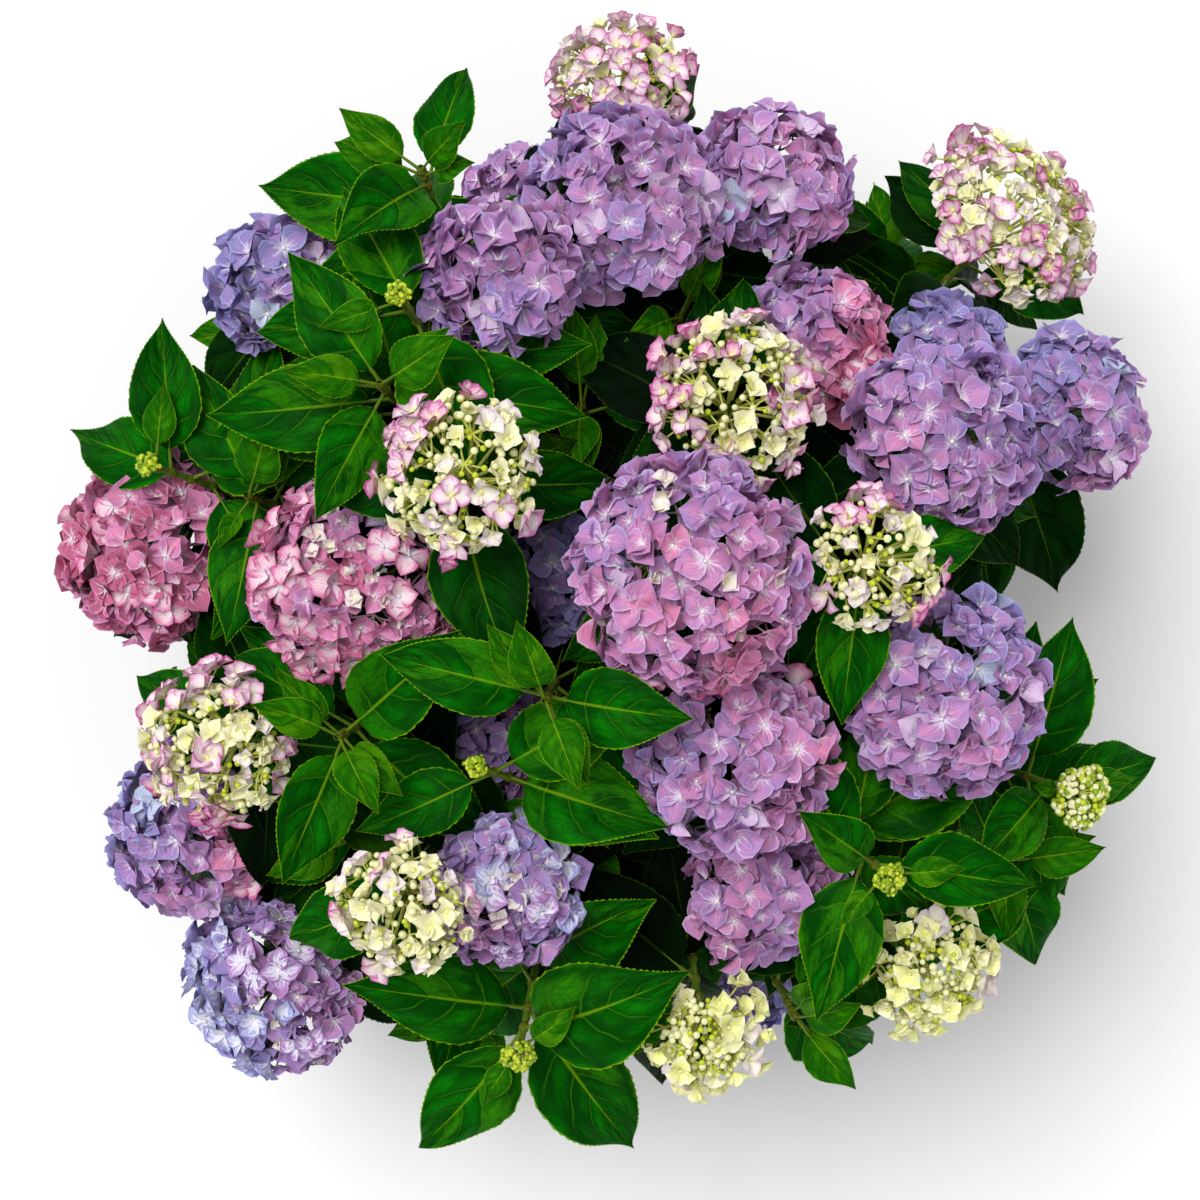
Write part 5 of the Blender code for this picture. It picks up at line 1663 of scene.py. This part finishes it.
HALF_SPACING = 0.0165
HALF_FLORETS = 3.7
FLUSHED_FLORETS = 1.2
HALF_LOWEST = -0.15
HALF_INSET = 0.009
HALF_TILT = 0.24
HALF_SINK = (-0.003, 0.008)
HALF_PROUD = 0.007
YOUNGEST = 0.2
CLUMP_SCALE = 24.0
CLUMP_PINK = 0.9
PINK_ANYWHERE = 0.45
PINK_TO_RIM = 0.9
FULL_ANYWHERE = 0.10
FULL_YOUNGEST = 0.38
FULL_BY_FLUSH = 0.75
FULL_TO_RIM = 1.5
INNER_FLORETS = 0.26
INNER_LOWEST = 0.2
INNER_INSET = 0.021
CREAM_EYE_RADII = (0.0016, 0.0022)
CREAM_EYE_HEIGHT = 0.0016
BUDS_MOST = 19.0
BUDS_FEWER = 14.0
BUDS_LOWEST = 0.05
BUDS_HIGHER = 0.35
BUDS_INSET = 0.007
BUDS_SINK = 0.013
BUD_RADII = (0.0023, 0.0033)
GREEN_BUDS = 0.3
GREEN_BUD_SIZE = 0.8

# A kind of floret: its size, how far its petals rise and how hollow they are, each with its
# spread, then how far they curl and how broad they are
Floret = namedtuple("Floret", "size lift cup curl breadth")
PINK_FLORET = Floret((0.0138, 0.0018), (0.72, 0.22), (0.50, 0.10), 0.50, 0.53)
CREAM_FLORET = Floret((0.0106, 0.0016), (0.95, 0.24), (0.60, 0.10), 0.75, 0.52)
YOUNGEST_TINTS = (("ivory",), ("lime_cream", "lime_cream", "cream"))
FLUSHED_TINTS = (("flushed", "edged", "edged", "edged"), ("cream", "cream", "ivory"))


def half_seats(twig, flush, room, rng):
    """Places and facings of a half-open head's florets, and whether each is a pink one."""
    count = round((HALF_FLORETS + FLUSHED_FLORETS * flush) * room)
    centre, facing, height = head_seats(twig, count, HALF_LOWEST, HALF_INSET, rng)
    facing = tilted(facing, HALF_TILT, rng)
    centre = centre - facing * rng.uniform(*HALF_SINK, count)[:, None]
    clump = np.array([noise.noise(Vector(place) * CLUMP_SCALE) for place in centre])
    chance = flush * (PINK_ANYWHERE + PINK_TO_RIM * np.clip(1 - height, 0, 1))
    chance = chance + CLUMP_PINK * clump * (flush > YOUNGEST)
    pink = rng.random(count) < chance
    least = FULL_ANYWHERE if flush > YOUNGEST else FULL_YOUNGEST
    fullness = least + FULL_BY_FLUSH * flush + FULL_TO_RIM * (1 - height)
    kept = pink | (rng.random(count) < fullness)
    centre, facing, pink = centre[kept], facing[kept], pink[kept]
    proud = rng.uniform(0.0, HALF_PROUD, len(centre))
    return centre + facing * np.where(pink | (flush < YOUNGEST), proud, 0.0)[:, None], facing, pink


def half_head(twig, flush, seed):
    """Cupped florets over the dome of one half-open head, and round buds among and below them."""
    rng = np.random.default_rng([SEED, seed, 1])
    room = (twig.radius / HALF_SPACING) ** 2
    centre, facing, pink = half_seats(twig, flush, room, rng)
    stalked, ways = centre, facing
    inner = round(INNER_FLORETS * len(centre))
    within, way_in, _ = head_seats(twig, inner, INNER_LOWEST, INNER_INSET, rng)
    centre = np.concatenate([centre, within])
    facing = np.concatenate([facing, tilted(way_in, HALF_TILT, rng)])
    pink = np.concatenate([pink, np.zeros(len(within), dtype=bool)])
    tints_of = YOUNGEST_TINTS if flush < YOUNGEST else FLUSHED_TINTS
    for chosen, floret, names in zip((pink, ~pink), (PINK_FLORET, CREAM_FLORET), tints_of):
        number = np.count_nonzero(chosen)
        size = rng.normal(*floret.size, number)
        lift = rng.normal(*floret.lift, number)
        curl = rng.normal(floret.curl, CURL_SPREAD, number)
        cup = rng.normal(*floret.cup, number)
        tints = np.array(names)[rng.integers(0, len(names), number)]
        batches = floret_petals(centre[chosen], facing[chosen], size, lift, curl, cup, rng,
                                five=0.03, breadth=floret.breadth)
        deal_petals(batches, tints, rng)
    eyes = rng.uniform(*CREAM_EYE_RADII, len(centre))
    bead_copies["cream_eyes"].append((centre + facing * CREAM_EYE_HEIGHT, facing, eyes))
    number = round((BUDS_MOST - BUDS_FEWER * flush) * room)
    lowest = BUDS_LOWEST + BUDS_HIGHER * (flush < YOUNGEST)
    seats, ways_out, _ = head_seats(twig, number, lowest, BUDS_INSET, rng)
    seats = seats - ways_out * rng.uniform(0.0, BUDS_SINK, number)[:, None]
    green = rng.random(number) < GREEN_BUDS
    radii = rng.uniform(*BUD_RADII, number)
    bead_copies["cream_buds"].append((seats[~green], ways_out[~green], radii[~green]))
    bead_copies["lime_buds"].append((seats[green], ways_out[green], radii[green] * GREEN_BUD_SIZE))
    stalked, ways = np.concatenate([stalked, seats]), np.concatenate([ways, ways_out])
    forked_stalks("half", twig, stalked, ways, *HALF_FORKS, rng)


for number, twig in enumerate(twigs):
    if twig.kind == "half":
        half_head(twig, FLUSH[(twig.mass.name, twig.mass.twigs.index(twig))], number)

PETAL_STEP = (3.7, 9.1, 0)
PETAL_ROUGHNESS = 0.62
PETAL_SHINE = 0.08
FAN_VEINS = 9.0
FAN_WANDER = 1.6
FAN_CLOUD = (4.0, 2.0)
FAN_LINE = (0.16, 0.0)
FAN_REACH = (1.0, 0.75)
STAR_RAYS = 5.0
RAY_EDGE = (0.34, 0.02)
RAY_LENGTH = 0.16
STAR_LENGTH = 0.22
STAR_ROUNDING = -0.14
STAR_WANDER = 0.6
STAR_LEAST = 0.02
STAR_EDGE = (1.5, 0.2)
BURST_EDGE = (3.8, 0.9)
STREAK_GRAIN = (13.0, 2.2, 1.0)
STREAK_CLOUD = (1.0, 2.0)
STREAK_EDGE = (0.38, 0.64)
PETAL_MOTTLE = (1.8, 2.0)
ZONE_ACROSS = 0.55
ZONE_ALONG = 0.35
ZONE_MOTTLE = (1.6, -0.82)
RIM_SIDES = (0.82, 0.98)
RIM_TIP = (0.93, 1.0)
FLARE_RAGGED = (0.9, -0.45)
FLARE_SIDES = (0.52, 0.95)
FLARE_TIP = (0.58, 0.95)


def make_petal_group():
    """Skin of a petal: fanned veins, pale streaks, a small star at its foot and a larger burst
    round it, the zone toward its edge, a thin rim, a flare in from the rim and a tone of its own."""
    outputs = ("Vein", "Streak", "Star", "Burst", "Edge", "Rim", "Flare", "Tone")
    tree, given, out = new_group("petal_skin", outputs)
    local, cell, _, seeded = cell_place(tree, given["Place"], PETAL_CELLS, PETAL_STEP)
    across, along, _ = node(tree, "SeparateXYZ", {0: local}).outputs
    wander = cloud(tree, seeded, *FAN_CLOUD)
    fan = calc(tree, "MULTIPLY_ADD", across, FAN_VEINS, calc(tree, "MULTIPLY", wander, FAN_WANDER))
    line = calc(tree, "ABSOLUTE", calc(tree, "SUBTRACT", calc(tree, "FRACT", fan), 0.5))
    vein = calc(tree, "MULTIPLY", step_up(tree, line, *FAN_LINE), step_up(tree, along, *FAN_REACH))
    from_middle = calc(tree, "ABSOLUTE", calc(tree, "MULTIPLY_ADD", across, 2.0, -1.0))
    ray = calc(tree, "FRACT", calc(tree, "MULTIPLY", across, STAR_RAYS))
    ray = step_up(tree, calc(tree, "ABSOLUTE", calc(tree, "SUBTRACT", ray, 0.5)), *RAY_EDGE)
    rounded = calc(tree, "MULTIPLY_ADD", from_middle, STAR_ROUNDING, STAR_LENGTH)
    length = calc(tree, "MULTIPLY_ADD", ray, RAY_LENGTH, rounded)
    length = calc(tree, "MULTIPLY_ADD", calc(tree, "SUBTRACT", wander, 0.5), STAR_WANDER, length)
    gone = calc(tree, "DIVIDE", along, calc(tree, "MAXIMUM", length, STAR_LEAST))
    streak = cloud(tree, vector(tree, "MULTIPLY", seeded, STREAK_GRAIN), *STREAK_CLOUD)
    mottle = cloud(tree, seeded, *PETAL_MOTTLE)
    outer = calc(tree, "MULTIPLY_ADD", from_middle, ZONE_ACROSS, calc(tree, "MULTIPLY", along, ZONE_ALONG))
    edge = calc(tree, "ADD", outer, calc(tree, "MULTIPLY_ADD", mottle, *ZONE_MOTTLE), clamp=True)
    rim = calc(tree, "MAXIMUM", step_up(tree, from_middle, *RIM_SIDES), step_up(tree, along, *RIM_TIP))
    ragged = calc(tree, "MULTIPLY_ADD", streak, *FLARE_RAGGED)
    flare = calc(tree, "MAXIMUM", step_up(tree, calc(tree, "ADD", from_middle, ragged), *FLARE_SIDES),
                 step_up(tree, calc(tree, "ADD", along, ragged), *FLARE_TIP))
    tone = node(tree, "TexWhiteNoise", {"Vector": cell}).outputs["Value"]
    lead_out(tree, out, Vein=vein, Streak=step_up(tree, streak, *STREAK_EDGE),
             Star=step_up(tree, gone, *STAR_EDGE), Burst=step_up(tree, gone, *BURST_EDGE),
             Edge=edge, Rim=rim, Flare=flare, Tone=tone)
    return tree


petal_group = make_petal_group()
petal_faces = grid_pattern((PETAL_LINES + 1) / 2, PETAL_ROWS, pointed=True)
STREAK_PALE = 0.55
STREAK_SHARE = 0.15
TONE_SHARE = 0.22
FAN_SHARE = 0.46


def petal_surface(name, main, second, vein, rim, star, rim_share, star_share, flare_share=0.0,
                  burst_share=0.0):
    """Soft matt petal, one tone inside and another toward its edge, with veins, rim and star."""
    made, tree, shader, place = surface(name, PETAL_ROUGHNESS, PETAL_SHINE)
    skin = node(tree, "Group", {"Place": place}, node_tree=petal_group).outputs
    pale = tuple((1 - STREAK_PALE) * one + STREAK_PALE for one in main)
    colour = layered(tree, blend(tree, skin["Edge"], main, second), (skin["Streak"], STREAK_SHARE, pale),
                     (skin["Tone"], TONE_SHARE, vein), (skin["Vein"], FAN_SHARE, vein),
                     (skin["Flare"], flare_share, rim), (skin["Rim"], rim_share, rim),
                     (skin["Burst"], burst_share, star), (skin["Star"], star_share, star))
    finish_surface(tree, shader, colour)
    return made


def join_petals(tint, *look):
    """Make one piece of all the petals of a colour."""
    points, cells = map(np.concatenate, petal_copies[tint])
    join(f"petals_{tint}", [(petal_faces, points, cells, 1.0 / PETAL_CELLS)],
         petal_surface(f"petal_{tint}", *look), MASSES)


# Colours of the young petals: inside, edge, vein and rim, with the shares of rim, star and flare
CREAM_COLOURS = {
    "lime_cream": (seen(240, 240, 158), seen(243, 241, 198), seen(222, 226, 96),
                   seen(246, 244, 220), 0.5, 0.7, 0.2),
    "cream": (seen(243, 240, 188), seen(243, 240, 208), seen(228, 226, 140),
              seen(244, 240, 224), 0.5, 0.6, 0.3),
    "ivory": (seen(243, 241, 222), seen(242, 236, 224), seen(228, 214, 204),
              seen(220, 192, 220), 0.7, 0.5, 0.60),
    "edged": (seen(244, 240, 232), seen(238, 218, 230), seen(216, 154, 200),
              seen(202, 108, 172), 0.8, 0.6, 0.75),
    "flushed": (seen(242, 228, 230), seen(220, 150, 190), seen(204, 100, 160),
                seen(190, 80, 150), 0.8, 0.9, 0.95),
}
OPEN_RIM = 0.60
OPEN_STAR = 0.70
WHITE_STAR = seen(232, 231, 244)
LIME_STAR = seen(232, 234, 150)

# Shares of flare and burst in the pale pink petals and in those with a large white star
STAR_LOOKS = {"pale_pink": (0.85, 0.0), "star_lilac": (0.5, 0.95), "star_blue": (0.5, 0.95)}

for tint, main, second, vein, rim in PETAL_COLOURS + PALE_COLOURS:
    join_petals(tint, main, second, vein, rim, WHITE_STAR, OPEN_RIM, OPEN_STAR, *STAR_LOOKS.get(tint, ()))
for tint, (main, second, vein, rim, *shares) in CREAM_COLOURS.items():
    join_petals(tint, main, second, vein, rim, LIME_STAR, *shares)

# Green bud clusters: tight knobs of lime-green beads on short forked stalks at the tips of the
# youngest shoots, in small bunches with dark clefts between them. The largest is turning cream.

BIG_CLUSTER = 0.02
BEADS_PER_SQUARE = 2.2
BEAD_SIZES = (0.82, 1.12)
CLUSTER_LOWEST = -0.5
CLUSTER_HUB = 0.6
CLUSTER_FORKS = 0.45
BUNCH_LOWEST = -0.2
BUNCH_PULL = 0.20
BUNCH_ROUND = 0.26
BEAD_JITTER = 0.0008
LIME_SHARE = 0.35

# Size of the beads, number of bunches and share of cream beads in a small cluster and a big one
SMALL_CLUSTER_BEADS = (0.0019, 6, 0.0)
BIG_CLUSTER_BEADS = (0.0026, 12, 0.45)


def bud_cluster(twig, seed):
    """Bunches of beads packed over a small dome."""
    rng = np.random.default_rng([SEED, seed, 2])
    bead, bunches, creamy = SMALL_CLUSTER_BEADS if twig.radius < BIG_CLUSTER else BIG_CLUSTER_BEADS
    count = round(BEADS_PER_SQUARE * (twig.radius / bead) ** 2)
    centre, facing, _ = head_seats(twig, count, CLUSTER_LOWEST, bead, rng)
    hubs = head_seats(twig, bunches, BUNCH_LOWEST, bead * 2, rng)[0]
    hub = hubs[np.argmin(np.linalg.norm(centre[:, None] - hubs[None], axis=2), axis=1)]
    sink = rng.normal(0, BEAD_JITTER, count) - BUNCH_ROUND * np.linalg.norm(centre - hub, axis=1)
    seats = centre + (hub - centre) * BUNCH_PULL + facing * sink[:, None]
    lime = rng.random(count) < LIME_SHARE
    cream = rng.random(count) < creamy
    radii = rng.uniform(*BEAD_SIZES, count) * bead
    for name, chosen in (("cream_buds", cream), ("lime_buds", lime & ~cream), ("green_buds", ~lime & ~cream)):
        bead_copies[name].append((seats[chosen], facing[chosen], radii[chosen]))
    forked_stalks("half", twig, seats, facing, CLUSTER_HUB, bunches, twig.radius * CLUSTER_FORKS, rng)


for number, twig in enumerate(twigs):
    if twig.kind in ("bud", "rim_bud"):
        bud_cluster(twig, number)


BEAD_SHOULDER = 0.97


def bead_shape(segments, rings, lowest):
    """Unit ball, or its upper part, as a pattern of faces and its points."""
    polar = np.arccos(np.linspace(lowest, BEAD_SHOULDER, rings))
    angles = 2 * math.pi * np.arange(segments) / segments
    rows = []
    for down in polar[:-1]:
        ring = (np.sin(down) * np.cos(angles), np.sin(down) * np.sin(angles), np.full(segments, np.cos(down)))
        rows.append(np.stack(ring, axis=1))
    across, along = np.linspace(0, 1, segments + 1), np.linspace(0, 1, rings)
    pattern = grid_pattern(across, along, closed=True, pointed=True)
    return pattern, np.concatenate(rows + [[[0.0, 0.0, 1.0]]])


def set_beads(unit, centres, facings, radii):
    """Copies of a bead, each at a place, facing a way, with its own radius."""
    axes = np.stack([*square_to(facings), facings], axis=1)
    return centres[:, None] + np.einsum("pk,nkj->npj", unit, axes) * radii[:, None, None]


BEAD_ROUGHNESS = 0.4
BEAD_SHINE = 0.4
BEAD_SEAMS = 4.0
SEAM_WIDTH = (0.16, 0.02)
SEAM_REACH = (0.45, 1.0)
SEAM_SHARE = 0.6
SEAM_RELIEF = -0.0003
BEAD_FOOT = (0.1, 0.75)


def bead_surface(name, main, shade, seam):
    """Smooth waxy bud with four faint seams and a darker foot, partly its own greener base and partly painted
    shade where the buds crowd together.
    """
    made, tree, shader, place = surface(name, BEAD_ROUGHNESS, BEAD_SHINE)
    across, along, _ = node(tree, "SeparateXYZ", {0: place}).outputs
    line = calc(tree, "FRACT", calc(tree, "MULTIPLY", across, BEAD_SEAMS))
    line = calc(tree, "ABSOLUTE", calc(tree, "SUBTRACT", line, 0.5))
    seams = calc(tree, "MULTIPLY", step_up(tree, line, *SEAM_WIDTH), step_up(tree, along, *SEAM_REACH))
    # The foot is partly the bud's greener base and partly painted shade low between the crowded buds.
    colour = blend(tree, step_up(tree, along, *BEAD_FOOT), shade, main)
    finish_surface(tree, shader, layered(tree, colour, (seams, SEAM_SHARE, seam)), seams, SEAM_RELIEF)
    return made


# Beads of all the heads: colour, darker foot (its greener base with shade painted in) and seams, then
# segments, rings and how far down each goes
FLORET_EYE = (6, 4, 0.0)
CREAM_EYE = (7, 4, 0.0)
ROUND_BUD = (7, 5, -0.8)
BEADS = {
    "floret_beads": (seen(244, 240, 222), seen(204, 198, 200), seen(206, 200, 170), FLORET_EYE),
    "cream_eyes": (seen(240, 240, 176), seen(222, 224, 116), seen(216, 214, 120), CREAM_EYE),
    "cream_buds": (seen(241, 240, 190), seen(218, 222, 104), seen(222, 222, 130), ROUND_BUD),
    "lime_buds": (seen(204, 216, 48), seen(140, 164, 10), seen(150, 172, 16), ROUND_BUD),
    "green_buds": (seen(142, 172, 16), seen(70, 104, 3), seen(88, 122, 6), ROUND_BUD),
}
for name, (main, shade, seam, form) in BEADS.items():
    pattern, unit = bead_shape(*form)
    centres, facings, radii = map(np.concatenate, zip(*bead_copies[name]))
    join(name, [(pattern, set_beads(unit, centres, facings, radii), None, 1.0)],
         bead_surface(f"bud_{name}", main, shade, seam), MASSES)

# Flower stalks: the stout and thin stalks that carry the florets and buds, a dull violet in the
# open heads and a waxy yellow-green in the younger ones. They grow on from the tip of the shoot.

PEDICEL_SIDES = 4

# Stalks of each kind of head: widths of the stout ones and of the thin ones from end to end,
# and the skin's colour, paler lines and flecks
PEDICELS = {
    "open": ((0.0016, 0.0011), (0.0009, 0.0007), seen(140, 120, 110), seen(176, 150, 160), seen(120, 70, 90)),
    "half": ((0.0014, 0.0010), (0.0009, 0.0006), seen(200, 206, 84), seen(228, 230, 146), seen(160, 126, 66)),
}
for kind, (stout, thin, *colours) in PEDICELS.items():
    batches = []
    for runs, widths in ((stout_stalks[kind], stout), (thin_stalks[kind], thin)):
        paths = np.concatenate(runs)
        taper = np.linspace(*widths, paths.shape[1])
        batches.append(tubes(paths, round_radii(taper, len(paths), PEDICEL_SIDES)))
    join(f"pedicels_{kind}", batches, stem_surface(f"pedicel_{kind}", *colours), MASSES)

# Studio: a plain pale floor, a large soft lamp high to the upper left, pale light from all
# round, and the camera straight above, as the shrub was photographed.

FLOOR_HALF = 60.0
FLOOR_GREY = 0.90
FLOOR_ROUGHNESS = 0.9
LIGHT_ALL_ROUND = 0.60
SEEN_BRIGHTER = 0.40
LAMP_PLACE = Vector((-1.0, 0.9, 3.0))
LAMP_ANGLE = math.radians(34)
LAMP_ENERGY = 2.2
CAMERA_HEIGHT = 2.6
CAMERA_LENS = 85.0
CAMERA_SENSOR = 36.0

floor_mesh = bpy.data.meshes.new("floor")
floor_corners = [(x * FLOOR_HALF, y * FLOOR_HALF, 0.0) for x, y in ((-1, -1), (1, -1), (1, 1), (-1, 1))]
floor_mesh.from_pydata(floor_corners, [], [(0, 1, 2, 3)])
floor = bpy.data.objects.new("floor", floor_mesh)
floor_paint = bpy.data.materials.new("floor_paint")
floor_paint.use_nodes = True
floor_shader = floor_paint.node_tree.nodes["Principled BSDF"]
floor_shader.inputs["Base Color"].default_value = (FLOOR_GREY, FLOOR_GREY, FLOOR_GREY, 1.0)
floor_shader.inputs["Roughness"].default_value = FLOOR_ROUGHNESS
floor_mesh.materials.append(floor_paint)

world = bpy.data.worlds.new("studio")
world.use_nodes = True
background = world.node_tree.nodes["Background"]
background.inputs["Color"].default_value = (1.0, 1.0, 1.0, 1.0)
seen_directly = node(world.node_tree, "LightPath").outputs["Is Camera Ray"]
strength = calc(world.node_tree, "MULTIPLY_ADD", seen_directly, SEEN_BRIGHTER, LIGHT_ALL_ROUND)
world.node_tree.links.new(strength, background.inputs["Strength"])

lamp_data = bpy.data.lights.new("soft_lamp", "SUN")
lamp_data.angle = LAMP_ANGLE
lamp_data.energy = LAMP_ENERGY
lamp = bpy.data.objects.new("soft_lamp", lamp_data)
lamp.location = LAMP_PLACE
lamp.rotation_euler = (-LAMP_PLACE).to_track_quat("-Z", "Y").to_euler()

camera_data = bpy.data.cameras.new("camera")
camera_data.lens = CAMERA_LENS
camera_data.sensor_width = CAMERA_SENSOR
camera = bpy.data.objects.new("camera", camera_data)
camera.location = (0.0, 0.0, CAMERA_HEIGHT)

scene = bpy.context.scene
for thing in (floor, lamp, camera):
    scene.collection.objects.link(thing)
scene.world = world
scene.camera = camera
scene.view_settings.view_transform = "Standard"
